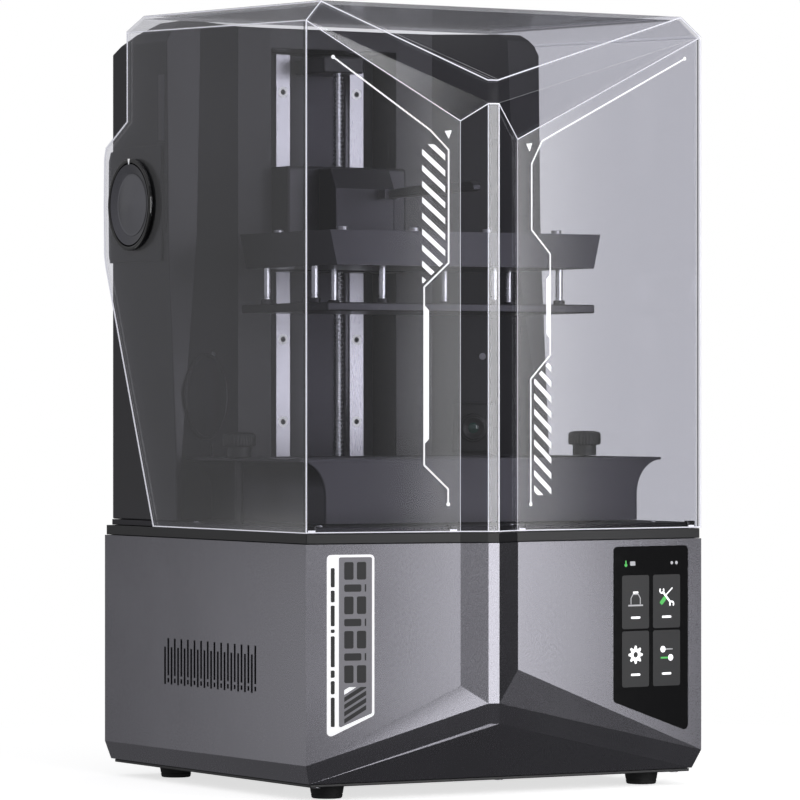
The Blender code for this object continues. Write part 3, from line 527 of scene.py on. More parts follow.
class PRINTER_OT_finishes(bpy.types.Operator):
    """Makes every finish of the printer"""

    bl_idname = "printer.finishes"
    bl_label = "Finishes"

    def execute(self, context):
        colours = context.scene.printer_colours
        # Powder-coated sheet steel: a satin metallic coat, its flakes a fine sparkling grain.
        FINISHES["powder_coat"] = solid_finish(
            "powder_coated_steel", tuple(colours.housing), 0.27, 0.45, metallic=0.9, spread=0.10,
            relief=0.015, uneven=0.03)
        # Moulded ABS with a fine spark-eroded texture: matt, nearly black.
        FINISHES["dark_plastic"] = solid_finish(
            "moulded_abs", tuple(colours.dark), 0.42, 0.8, spread=0.12, relief=0.2)
        # Satin moulded ABS cover with a metallic pigment.
        FINISHES["tower_plastic"] = solid_finish(
            "pigmented_abs", tuple(colours.tower), 0.36, 0.8, metallic=0.25, spread=0.08, relief=0.12)
        # Gloss black moulded ring, polished in the mould.
        FINISHES["gloss_black"] = solid_finish(
            "polished_abs", linear("#0c0c0e"), 0.12, 1.5, spread=0.1, relief=0.03, uneven=0.03, coat=0.4)
        # Satin black moulded bevel of the hinge cap.
        FINISHES["satin_black"] = solid_finish(
            "satin_abs", linear("#6a6a70"), 0.18, 1.5, metallic=0.9, spread=0.08, relief=0.03, uneven=0.04)
        # Cast acrylic sheet, clear and slightly smoky, with polished faces.
        FINISHES["acrylic"] = clear_finish(
            "cast_acrylic", tuple(colours.lid), 1.49, 0.13, 0.004, linear("#c9c8cf"))
        # Flame-polished acrylic edge with a strong white haze: a painted highlight that makes the rounded
        # edges look white.
        FINISHES["acrylic_edge"] = clear_finish(
            "acrylic_edge_painted_white_highlight", linear("#f4f4f8"), 1.49, 0.12, 0.5, linear("#f6f6fa"))
        # Painted highlight: a white finish that glows of its own, for the bright lines along the lid's edges.
        FINISHES["edge_light"] = solid_finish("acrylic_edge_light", linear("#f2f2f8"), 0.2, 3.0, spread=0.02,
                                              relief=0.0, glow=0.6)
        # Screen-printed white ink with a glow of its own, painted light that makes it whiter than the lamps
        # alone.
        FINISHES["ink"] = solid_finish("printed_ink_with_painted_glow", tuple(colours.ink), 0.45, 0.5, spread=0.02, relief=0.05,
                                       glow=0.45)
        # Moulded rubber, matt with a faint bloom.
        FINISHES["rubber"] = solid_finish("moulded_rubber", linear("#121213"), 0.75, 0.6, spread=0.25,
                                          relief=0.3)
        # Ground bearing steel: bright, with fine lines along the grind.
        FINISHES["ground_steel"] = solid_finish(
            "ground_steel", linear("#c4c3c9"), 0.3, 0.3, metallic=1.0, spread=0.04, relief=0.02,
            stretch=(1.0, 1.0, 0.04))
        # Rolled and polished steel of the pins, nearly a mirror.
        FINISHES["bright_steel"] = solid_finish(
            "polished_steel", linear("#ececf0"), 0.12, 0.4, metallic=1.0, spread=0.03, relief=0.0,
            uneven=0.03, stretch=(1.0, 1.0, 0.05))
        # Bead-blasted and anodised aluminium, dark grey.
        FINISHES["anodised"] = solid_finish(
            "anodised_aluminium", tuple(colours.anodised), 0.36, 0.5, metallic=0.9, spread=0.08, relief=0.15)
        # Milled aluminium with cutter lines.
        FINISHES["milled"] = solid_finish(
            "milled_aluminium", linear("#77767c"), 0.3, 0.6, metallic=1.0, spread=0.07, relief=0.15,
            stretch=(0.06, 1.0, 1.0))
        # Dark anodised deck sheet, brushed across its width.
        FINISHES["deck_metal"] = solid_finish(
            "brushed_aluminium_sheet", linear("#3b3a3f"), 0.34, 0.5, metallic=0.9, spread=0.07, relief=0.12,
            stretch=(0.05, 1.0, 1.0))
        # Chemically toughened cover glass over a dark panel.
        FINISHES["cover_glass"] = solid_finish(
            "toughened_glass", linear("#0b0b0d"), 0.08, 6.0, spread=0.1, relief=0.0, uneven=0.02, coat=0.5)
        # Solder mask over fibreglass.
        FINISHES["circuit_board"] = solid_finish(
            "solder_mask", linear("#1c4a30"), 0.35, 1.2, spread=0.25, relief=0.2)
        # Blown fluoropolymer film, stretched clear.
        FINISHES["film"] = clear_finish("fluoropolymer_film", linear("#e9edf2"), 1.36, 0.08, 0.06,
                                        linear("#c0c4ca"))
        # Spun and dark-anodised cap: fine rings, with a highlight that fans from the middle.
        FINISHES["spun"] = spun_finish("spun_aluminium", linear("#8c8c92"), 0.24,
                                       (0.0, HINGE[1] * MM, HINGE[2] * MM), 0.6)
        # Backlit picture elements of the touch panel.
        FINISHES["tile"] = lit_finish("panel_tile", linear("#1f1f21"), 0.4)
        FINISHES["icon"] = lit_finish("panel_icon_white", linear("#f2f2f4"), 0.75)
        FINISHES["icon_dim"] = lit_finish("panel_icon_grey", linear("#a9a9ad"), 0.45)
        FINISHES["icon_green"] = lit_finish("panel_icon_green", tuple(colours.accent), 0.8)
        # Printed vinyl label: white, grey and black inks.
        FINISHES["label_grey"] = solid_finish("label_grey_ink", linear("#85848a"), 0.45, 0.6, metallic=0.4,
                                              spread=0.12, relief=0.05)
        FINISHES["label_black"] = solid_finish("label_black_ink", linear("#141418"), 0.4, 0.5, relief=0.05)
        # Diffuser of the lamp strips: milky polycarbonate.
        FINISHES["diffuser"] = solid_finish("milky_polycarbonate", linear("#504f55"), 0.35, 1.0, relief=0.08,
                                            spread=0.05)
        # Multi-coated lens.
        FINISHES["lens"] = solid_finish("coated_lens", linear("#1d4a40"), 0.08, 5.0, relief=0.0, uneven=0.01,
                                        coat=1.0)
        return {"FINISHED"}


# ---- base -----------------------------------------------------------------------------------
class PRINTER_OT_base(bpy.types.Operator):
    """Finishes the housing, band, deck and everything inside the base, and makes the feet"""

    bl_idname = "printer.base"
    bl_label = "Base"

    def execute(self, context):
        sizes = context.scene.printer_sizes
        dress("base_shell", ["powder_coat"], sizes.edge_round / MM)
        for node, finish, bevel in (
                ("deck_band", "dark_plastic", 0.5), ("deck_cover", "deck_metal", 0.5),
                ("bottom_plate", "dark_plastic", 0.5), ("lcd_panel", "cover_glass", 0.3),
                ("screen_module", "dark_plastic", 0.0), ("light_hood", "anodised", 0.0),
                ("led_array", "circuit_board", 0.2), ("heat_sink", "milled", 0.3),
                ("fan_frame", "dark_plastic", 0.4), ("fan_rotor", "dark_plastic", 0.0),
                ("mainboard", "circuit_board", 0.2), ("power_supply", "milled", 0.0),
                ("z_motor", "dark_plastic", 0.0)):
            dress(node, [finish], bevel)
        self.feet()
        self.screws()
        return {"FINISHED"}

    def feet(self):
        """Turned rubber feet: a tapered drum with two grooves and a dished sole."""
        for label in ("front_left", "front_right", "rear_left", "rear_right"):
            top = limits(f"foot_{label}")[1][2]
            profile = [(0, 0.8), (7.0, 0.8), (7.8, 0.05), (9.8, 0.05), (10.5, 0.6), (10.9, 2.6), (10.7, 2.8),
                       (10.7, 3.2), (11.0, 3.4), (11.9, top - 0.5), (11.5, top), (0, top)]
            piece(f"rubber_foot_{label}", [turned(profile, stand(f"foot_{label}"), 64)], ["rubber"], "base",
                  [f"foot_{label}"])

    def screws(self):
        """Cap screws in the rear wall, the deck and the bottom plate."""
        wall_screw, deck_screw = (3.2, 1.4, 2.6, 1.0), (2.8, 1.2, 2.2, 0.8)
        rear = limits("base_shell")[1][1] - 0.6
        screws("rear_wall_screws", [on_axes((x, rear, z), *BACK) for x in (-150.0, -50.0, 50.0, 150.0)
                                    for z in (32.0, 164.0)], wall_screw)
        bottom = limits("bottom_plate")[0][2] + 0.6
        screws("bottom_screws", [on_axes((x, y, bottom), *DOWN) for x in (-146.0, 0.0, 146.0)
                                 for y in (-122.0, 150.0)], wall_screw)
        top = limits("deck_cover")[1][2] - 0.5
        places = ((-136.0, -110.0), (136.0, -110.0), (-150.5, 40.0), (150.5, 40.0), (0.0, -140.0))
        screws("deck_screws", [on_axes((x, y, top), *UP) for x, y in places], deck_screw,
               finish="bright_steel")


class PRINTER_OT_rear(bpy.types.Operator):
    """Finishes the power inlet, its switch and the data socket, and makes their small parts"""

    bl_idname = "printer.rear"
    bl_label = "Rear sockets"

    def execute(self, context):
        dress("power_inlet", ["dark_plastic"], 0.3)
        dress("power_rocker", ["gloss_black"], 0.4)
        dress("usb_socket", ["bright_steel"], 0.15)
        low, high = limits("power_inlet")
        middle = (low[2] + high[2]) / 2
        screws("inlet_screws", [on_axes((x, high[1] - 1.0, middle), *BACK)
                                for x in (low[0] + 1.9, high[0] - 1.9)], (1.8, 1.3, 1.6, 0.8))
        low, high = limits("power_rocker")
        put = on_axes((0.0, high[1] - 0.9, 0.0), *BACK)
        x = -(low[0] + high[0]) / 2
        bar = ribbon([(x, high[2] - 6.0), (x, high[2] - 2.6)], 0.9, 0.0, 1.0, put)
        ring = ribbon(circle(24) * 1.7 + (x, low[2] + 4.3), 0.7, 0.0, 1.0, put, closed=True)
        piece("rocker_marks", [bar, ring], ["ink"], "rocker")
        tongue = rounded_box((102.6, 144.0, 44.2), (115.4, 158.0, 45.8), 0.4)
        piece("data_socket_tongue", [tongue], ["icon_dim"], "base")
        return {"FINISHED"}


# ---- screen and label -----------------------------------------------------------------------
SCREEN_X, SCREEN_TOP, SCREEN_LOW = (81.2, 149.1), 170.0, (61.0, 38.0)
TILE_X = ((89.3, 113.6), (117.2, 141.8))
TILE_Z = ((111.9, 149.5), (71.0, 110.3))


class PRINTER_OT_screen(bpy.types.Operator):
    """Makes the touch screen: the cover glass with round corners, four tiles and their pictures"""

    bl_idname = "printer.screen"
    bl_label = "Touch screen"

    def execute(self, context):
        put = on_panel(1)
        edge = 0.25
        outline = [(SCREEN_X[0] + edge, SCREEN_LOW[0] + edge), (SCREEN_X[1] - edge, SCREEN_LOW[1] + edge),
                   (SCREEN_X[1] - edge, SCREEN_TOP - edge), (SCREEN_X[0] + edge, SCREEN_TOP - edge)]
        piece("screen_cover_glass", [slab(round_corners(outline, 3.4, 8), -2.2, -0.15, put, 0.3)],
              ["cover_glass"], "base", ["screen_glass"])
        outer = [(SCREEN_X[0] - 0.26, SCREEN_LOW[0] - 0.3), (SCREEN_X[1] + 0.26, SCREEN_LOW[1] - 0.3),
                 (SCREEN_X[1] + 0.26, SCREEN_TOP + 0.26), (SCREEN_X[0] - 0.26, SCREEN_TOP + 0.26)]
        hole = round_corners(np.array(outline) + [(-0.1, -0.1), (0.1, -0.1), (0.1, 0.1), (-0.1, 0.1)], 3.5, 8)
        corners = np.repeat(outer, 8, axis=0)
        rows = [(corners, -2.2), (corners, -0.05), (hole, -0.05), (hole, -2.2)]
        piece("screen_surround", [patch(put(layers(rows)), wrap_rows=True)], ["powder_coat"], "base")
        tiles = [slab(round_corners(box_outline(*x, *z), 1.6, 5), -0.18, -0.1, put)
                 for x in TILE_X for z in TILE_Z]
        piece("screen_tiles", tiles, ["tile"], "base")
        self.pictures(put)
        return {"FINISHED"}

    def pictures(self, put):
        """Generic pictures: a machine, crossed tools, a cog and two sliders, each over a blank bar."""
        low, high = -0.12, -0.02
        middles = [(sum(x) / 2, sum(z) / 2 + 3.0) for x in TILE_X for z in TILE_Z]
        machine, cog, tools, sliders = middles
        white, grey, green = [], [], []
        for x, z in middles:
            white.append(slab(round_corners(box_outline(x - 4.2, x + 4.2, z - 14.8, z - 13.2), 0.7, 4),
                              low, high, put))
        x, z = machine
        grey.append(ribbon([(x - 6.6, z - 5.4), (x + 6.6, z - 5.4)], 1.1, low, high, put))
        grey.append(ribbon([(x - 4.2, z - 4.6), (x - 4.2, z - 0.4), (x - 2.4, z + 2.4), (x + 2.4, z + 2.4),
                            (x + 4.2, z - 0.4), (x + 4.2, z - 4.6)], 0.7, low, high, put))
        cap = round_corners(box_outline(x - 2.4, x + 2.4, z + 3.0, z + 4.4), 0.5, 3)
        white.append(slab(cap, low, high, put))
        x, z = cog
        angle = np.arange(64) * 2 * np.pi / 64
        radius = 5.4 + 1.0 * np.tanh(4 * np.cos(8 * angle))
        teeth = np.stack([radius * np.cos(angle) + x, radius * np.sin(angle) + z], -1)
        bore = circle(64) * 2.0 + (x, z)
        rows = [(bore, low), (teeth, low), (teeth, high), (bore, high)]
        white.append(patch(put(layers(rows)), wrap_rows=True))
        x, z = tools
        white.append(ribbon([(x - 1.0, z + 1.0), (x + 5.2, z + 6.4)], 0.9, low, high, put))
        green.append(ribbon([(x - 5.4, z - 4.8), (x - 4.6, z - 4.0), (x - 1.0, z - 0.2), (x - 0.4, z + 0.4)],
                            [2.2, 3.0, 3.0, 1.2], low, high, put))
        white.append(ribbon([(x - 3.4, z + 3.6), (x + 3.6, z - 4.0)], 1.5, low, high + 0.02, put))
        for sx, sz, start in ((x - 4.4, z + 4.6, 0.25), (x + 4.6, z - 5.0, 1.25)):
            turn = start * np.pi + np.linspace(0.25, 1.75, 14) * np.pi + 0.25 * np.pi
            white.append(ribbon(np.stack([sx + 1.7 * np.cos(turn), sz + 1.7 * np.sin(turn)], -1), 1.2,
                                low, high + 0.02, put))
        x, z = sliders
        grey.append(ribbon([(x - 1.0, z + 3.2), (x + 5.4, z + 3.2)], 0.8, low, high, put))
        white.append(slab(circle(24) * 2.3 + (x - 3.4, z + 3.2), low, high, put))
        green.append(ribbon([(x - 5.4, z - 2.8), (x + 1.6, z - 2.8)], 1.2, low, high, put))
        white.append(slab(circle(24) * 2.3 + (x + 3.6, z - 2.8), low, high, put))
        top = TILE_Z[0][1] + 8.2
        x = TILE_X[0][0] + 3.4
        green.append(ribbon([(x, top - 1.0), (x, top + 2.2)], 1.0, low, high, put))
        green.append(slab(circle(16) * 1.2 + (x, top - 1.0), low, high, put))
        badge = round_corners(box_outline(x + 3.8, x + 8.4, top - 1.4, top + 1.6), 0.5, 3)
        grey.append(slab(badge, low, high, put))
        for offset in (7.6, 3.4):
            grey.append(slab(circle(16) * 1.2 + (TILE_X[1][1] - offset, top), low, high, put))
        piece("screen_pictures_white", white, ["icon"], "base")
        piece("screen_pictures_grey", grey, ["icon_dim"], "base")
        piece("screen_pictures_green", green, ["icon_green"], "base")


class PRINTER_OT_label(bpy.types.Operator):
    """Makes the printed label on the left front panel with plain bars in place of words"""

    bl_idname = "printer.label"
    bl_label = "Label"

    def execute(self, context):
        put = on_panel(-1)
        left, right, top = -146.2, -112.2, 167.5
        slope = (58.0 - 42.8) / (right - left)

        def lower(x):
            return 42.8 + slope * (x - left)
        outline = [(left, lower(left)), (right, lower(right)), (right, top), (left, top)]
        piece("label_white", [slab(round_corners(outline, 3.0, 8), 0.02, 0.14, put)], ["ink"], "base")
        x0, x1 = left + 8.6, right - 1.7
        field = [(x0, lower(x0) + 3.2), (x1, lower(x1) + 2.2), (x1, top - 1.7), (x0, top - 1.7)]
        grey = [slab(round_corners(field, 1.2, 4), 0.1, 0.2, put)]
        piece("label_field", grey, ["label_grey"], "base")
        bar0, bar1 = x0 + 3.8, x1 - 4.2
        black, white = [], []
        heights = (12.0, 5.0, 12.0, 5.0, 12.0, 5.0, 12.0)
        z = top - 5.0
        for index, height in enumerate(heights):
            inset = 0.0 if index % 2 == 0 else 5.6
            middle = (bar0 + bar1) / 2 + inset
            for low_x, high_x in ((bar0, middle - 1.2), (middle + 1.2, bar1)):
                shape = round_corners(box_outline(low_x, high_x, z - height, z), 1.1, 4)
                black.append(slab(shape, 0.15, 0.26, put))
            z -= height + 3.2
        for index in range(5):
            base = 75.5 - index * 4.9
            stripe = [(bar0, base - 3.1), (bar1, base + 6.2), (bar1, base + 9.3), (bar0, base)]
            stripe = clip(stripe, (0.0, -1.0), -77.5)
            (white if index == 0 else black).append(slab(stripe, 0.15, 0.26, put))
        dashes = []
        z = top - 9.0
        for length in (13.0, 8.0, 14.0, 2.4, 21.0, 5.0, 9.0, 20.0):
            bar = round_corners(box_outline(left + 2.8, left + 5.6, z - length, z), 0.7, 3)
            dashes.append(slab(bar, 0.1, 0.2, put))
            z -= length + 2.2
        piece("label_bars", black + dashes, ["label_black"], "base")
        piece("label_stripe", white, ["ink"], "base")
        return {"FINISHED"}


# ---- lid ------------------------------------------------------------------------------------
LID_HIGH = (530.4, 464.4, 476.3, 476.3, 453.1, 530.4)
LID_CREASE = ((-147.0, -130.4, 544.2), (-29.0, -155.5, 493.0), (-22.2, -157.4, 493.0),
              (147.0, -130.4, 544.2))
INSIDE = 0.9965
LID_SIDE = ((128.5, 538.6), (128.5, 474.0), (161.5, 456.0), (164.0, 448.0), (164.6, 413.3), (164.0, 378.0),
            (162.0, 370.0))


class PRINTER_OT_lid(bpy.types.Operator):
    """Finishes the clear lid, its printing, its catches and its hinge caps"""

    bl_idname = "printer.lid"
    bl_label = "Lid"

    def execute(self, context):
        sizes = context.scene.printer_sizes
        dress("lid", ["acrylic", "acrylic_edge"], sizes.lid_edge / MM, slot=1)
        self.printing(sizes.print_line / MM, sizes.print_thick / MM)
        self.edges()
        self.catches()
        for side, label in ((-1, "left"), (1, "right")):
            dress(f"hinge_plate_{label}", ["tower_plastic"], 0.3)
            self.cap(side, label)
        return {"FINISHED"}

    def printing(self, line, thick):
        """White lines, hatching and marks on both front panels, laid on the outer face."""
        for side, label, bends, wide, hatch, mark in (
                (-1, "left", ((-141.7, 505.4), (-72.0, 457.2), (-58.6, 443.8), (-58.6, 366.4), (-76.3, 349.8),
                              (-76.3, 228.1), (-58.9, 211.6), (-58.9, 201.3)),
                 (-76.3, 334.0, 245.9, 1.0), (-77.8, -61.1, 444.2, 10.9), (-58.9, 454.7)),
                (1, "right", ((145.9, 514.1), (18.3, 452.1), (9.1, 435.9), (9.1, 390.2), (25.3, 373.9),
                              (25.3, 303.8), (8.3, 287.1), (8.3, 200.6)),
                 (25.3, 356.5, 318.4, -1.0), (11.3, 26.2, 277.3, 10.6), (6.9, 447.6))):
            put = on_panel(side)
            low, high = 0.02, thick
            ink = [ribbon(bends, line, low, high, put)]
            for end in (bends[0], bends[-1]):
                ink.append(slab(circle(24) * line * 1.25 + end, low, high + 0.02, put))
            x, z0, z1, lean = wide
            bar = [(x - line / 2 * lean, z0 + 4.0), (x - line / 2 * lean, z1 - 4.0),
                   (x + 3.4 * lean, z1), (x + 3.4 * lean, z0)]
            ink.append(slab(bar, low, high + 0.02, put))
            x0, x1, first, pitch = hatch
            drop = 0.87 * (x1 - x0)
            foot, head = (np.array(bends[4]), np.array(bends[3])) if side < 0 else (
                np.array(bends[6]), np.array(bends[5]))
            slope = unit(np.array((foot[1] - head[1], head[0] - foot[0]))) * -side
            for step in range(-3, 9):
                z = first - step * pitch
                stripe = [(x0, z - 4.2), (x1, z - 4.2 - drop), (x1, z - drop), (x0, z)]
                stripe = clip(stripe, slope, np.dot(slope, head) + 2.4)
                if side < 0:
                    stripe = clip(stripe, (0.0, -1.0), -447.4)
                else:
                    stripe = clip(stripe, (0.0, 1.0), 206.8)
                if len(stripe) > 2:
                    ink.append(slab(stripe, low, high, put))
            x, z = mark
            ink.append(slab([(x - 2.6, z + 2.0), (x + 2.6, z + 2.6), (x + 0.4, z - 3.4)], low, high, put))
            piece(f"lid_printing_{label}", ink, ["ink"], "lid")

    def edges(self):
        """Painted highlights on the lid's polished edges: thin glowing bars just inside each outer edge of
        the folded sheet, and painted shade, a dark bar by each front side corner.
        """
        low = limits("lid")[0][2] + 0.6
        fold = [(-HALF_WIDTH, FRONT_CORNER_Y), *RIDGE, (HALF_WIDTH, FRONT_CORNER_Y)]
        # The bars' centres are drawn in by about half a millimetre, so that they stay inside the sheet.
        pull = np.array((INSIDE, INSIDE, 0.9988))
        upper = [(*plan, z) for plan, z in zip(fold, LID_HIGH)]
        bars = [tube(np.array(upper) * pull, 0.42, (0, 1, 0)),
                tube(np.array(LID_CREASE) * pull, 0.5, (0, 1, 0)),
                tube([(x * INSIDE, y * INSIDE, low) for x, y in fold], 0.35, (0, 0, 1))]
        for index, radius in ((1, 0.16), (2, 0.3), (3, 0.42), (4, 0.16)):
            x, y = np.array(fold[index]) * INSIDE
            bars.append(tube([(x, y, low), (x, y, LID_HIGH[index] - 0.8)], radius, (0, 1, 0)))
        shade = []
        for side in (-1, 1):
            x = side * HALF_WIDTH
            outline = [(x, FRONT_CORNER_Y, low), (x, FRONT_CORNER_Y, LID_HIGH[0]),
                       *[(x, y, z) for y, z in LID_SIDE], (x, 88.0, low)]
            bars.append(tube(np.array(outline) * pull, 0.5, (1, 0, 0), closed=True))
            crown = np.array(LID_CREASE[0 if side < 0 else -1])
            rear = (side * 147.0, 128.0, 550.5)
            bars.append(tube(np.array([crown, rear]) * pull, 0.45, (1, 0, 0)))
            bars.append(tube(np.array([(x, FRONT_CORNER_Y, LID_HIGH[0]), crown]) * pull, 0.4, (0, 1, 0)))
            # Painted shade: a dark gloss bar just inside each front side corner.
            x *= 0.996
            shade.append(tube([(x, -131.4, low), (x, -131.4, 528.5)], 0.4, (0, 1, 0)))
        piece("lid_painted_edge_highlights", bars, ["edge_light"], "lid", smooth=60)
        piece("lid_corner_shade", shade, ["gloss_black"], "lid", smooth=60)

    def catches(self):
        """Small stops along the lid's lower edge: dark blocks with a light pad whose glow is a painted
        highlight.
        """
        low = limits("lid")[0][2]
        blocks, pads = [], []
        for side, x in ((-1, -156.0), (-1, -54.0), (1, 3.0), (1, 154.0)):
            put = on_panel(side)
            blocks.append(rounded_box((x - 3.6, low + 0.2, -6.2), (x + 3.6, low + 5.0, -2.6), 0.6, put))
            pads.append(rounded_box((x - 2.6, low + 0.3, -2.55), (x + 2.6, low + 2.0, -2.3), 0.1, put))
        piece("lid_stops", blocks, ["gloss_black"], "lid")
        piece("lid_stop_pads_with_painted_highlight", pads, ["edge_light"], "lid")

    def cap(self, side, label):
        """Hinge cap: a gloss ring, a dished bevel with a groove, and a spun disc with a pointer."""
        put = on_axes(HINGE, (0, side, 0), (0, 0, 1), (side, 0, 0))
        ring = [(29.4, 161.3), (29.8, 162.0), (30.3, 163.3), (31.0, 163.6), (32.5, 163.6), (33.0, 163.3),
                (33.2, 162.8), (33.2, 161.3), (29.4, 161.3)]
        piece(f"hinge_ring_{label}", [turned(ring, put, 96)], ["gloss_black"], "lid",
              [f"lid_hub_{label}"])
        bevel = [(22.6, 160.2), (22.6, 160.9), (23.0, 161.0), (28.6, 163.2), (29.2, 163.3), (29.3, 162.8),
                 (29.3, 160.2), (22.6, 160.2)]
        piece(f"hinge_bevel_{label}", [turned(bevel, put, 96)], ["satin_black"], "lid")
        face = [(0.0, 163.1), (0.6, 163.05), (20.6, 161.1), (21.8, 160.9), (22.4, 161.1), (22.5, 160.8),
                (22.5, 157.4), (8.4, 157.4), (8.4, 160.2), (0.0, 160.2)]
        piece(f"hinge_disc_{label}", [turned(face, put, 96)], ["spun"], "lid")
        pointer = ribbon([(0.0, 29.0), (0.0, 33.0)], [0.8, 3.2], 163.58, 163.69, put)
        piece(f"hinge_pointer_{label}", [pointer], ["ink"], "lid")


# ---- tower ----------------------------------------------------------------------------------
FACET = math.atan2(45.0, 70.5)


def on_facet(side, x, z):
    """Returns a function that lays points on a wing's slanted facet, centred at x and z."""
    y = 60.0 + (152.5 - x) * math.tan(FACET)
    out = np.array([-side * math.sin(FACET), -math.cos(FACET), 0.0])
    up = np.array([0.0, 0.0, 1.0])
    return on_axes((side * x, y, z), np.cross(up, out), up, out)


class PRINTER_OT_tower(bpy.types.Operator):
    """Finishes the tower and makes its lamp strips, hinge blocks, filter cover, camera and screws"""

    bl_idname = "printer.tower"
    bl_label = "Tower"

    def execute(self, context):
        dress("tower_cover", ["tower_plastic"], 0.9)
        for side, label in ((-1, "left"), (1, "right")):
            dress(f"hinge_pin_{label}", ["bright_steel"], 0.0)
            self.wing(side, label)
        self.camera()
        self.filter_cover()
        self.rear_screws()
        return {"FINISHED"}

    def wing(self, side, label):
        """Lamp strip with its end piece and the hinge's bearing block on the wing's front edge."""
        face = on_axes((side * 156.8, 0.0, 0.0), (0, 1, 0), (0, 0, 1), (side, 0, 0))
        for name, low, high, radius, finish, slot in (
                ("lamp_strip", (77.5, 458.0, -0.6), (86.5, 505.0, 0.5), 0.4, "diffuser", "tower_plastic"),
                ("lamp_end", (77.5, 441.0, -0.6), (88.0, 456.6, 0.6), 0.4, "dark_plastic", "dark_plastic"),
                ("hinge_block", (74.0, 393.0, -0.6), (86.0, 434.0, 0.7), 0.5, "dark_plastic",
                 "dark_plastic")):
            piece(f"{name}_{label}", [rounded_box(low, high, radius, face)], [finish], "base")
        screws(f"tower_screw_{label}", [on_facet(side, 113.6, 304.9)], (2.6, 0.9, 2.2, 0.7))
        peg = rounded_box((-1.1, -6.0, -0.5), (1.1, 6.0, 1.6), 0.7, on_facet(side, 115.6, 236.0))
        piece(f"tower_clip_{label}", [peg], ["tower_plastic"], "base")

    def camera(self):
        """Square housing with round edges, a stepped barrel and a domed lens."""
        put = on_facet(1, 108.0, 252.0)
        body = [rounded_box((-16.0, -18.5, 0.3), (16.0, 18.5, 9.6), 2.2, put)]
        barrel = [(0, 8.0), (11.0, 8.0), (11.0, 10.0), (10.4, 10.5), (9.6, 10.6), (9.3, 11.9), (8.6, 12.2),
                  (7.6, 12.2), (7.2, 11.6), (5.6, 11.2), (5.0, 10.8), (4.2, 10.6), (0, 10.6)]
        piece("camera_housing", body + [turned(barrel, put, 64)], ["dark_plastic"], "base",
              ["camera_module"])
        rise = np.linspace(0, np.pi / 2, 8)
        dome = np.stack([4.0 * np.cos(rise), 10.7 + 0.9 * np.sin(rise)], -1).tolist()
        piece("camera_lens", [turned([(0, 10.4), (4.0, 10.4), *dome], put, 48)], ["lens"], "base")

    def filter_cover(self):
        """Round cover of the air filter: a stepped disc with a groove inside its rim."""
        put = on_facet(-1, 124.0, 275.0)
        low, high = 0.3, 2.7
        profile = [(0, low), (30.4, low), (31.0, low + 0.5), (31.0, high - 0.6), (30.4, high), (29.0, high),
                   (28.4, high - 0.5), (27.4, high - 0.5), (26.8, high - 0.1), (0, high - 0.1)]
        piece("air_filter_cover", [turned(profile, put, 96)], ["tower_plastic"], "base",
              ["filter_cover"])

    def rear_screws(self):
        """Cap screws in the tower's rear face."""
        rear = limits("tower_cover")[1][1] - 0.6
        screws("tower_rear_screws", [on_axes((x, rear, z), *BACK) for x in (-146.0, -66.0, 66.0, 146.0)
                                     for z in (200.0, 350.0, 500.0)], (3.0, 1.3, 2.4, 0.9))


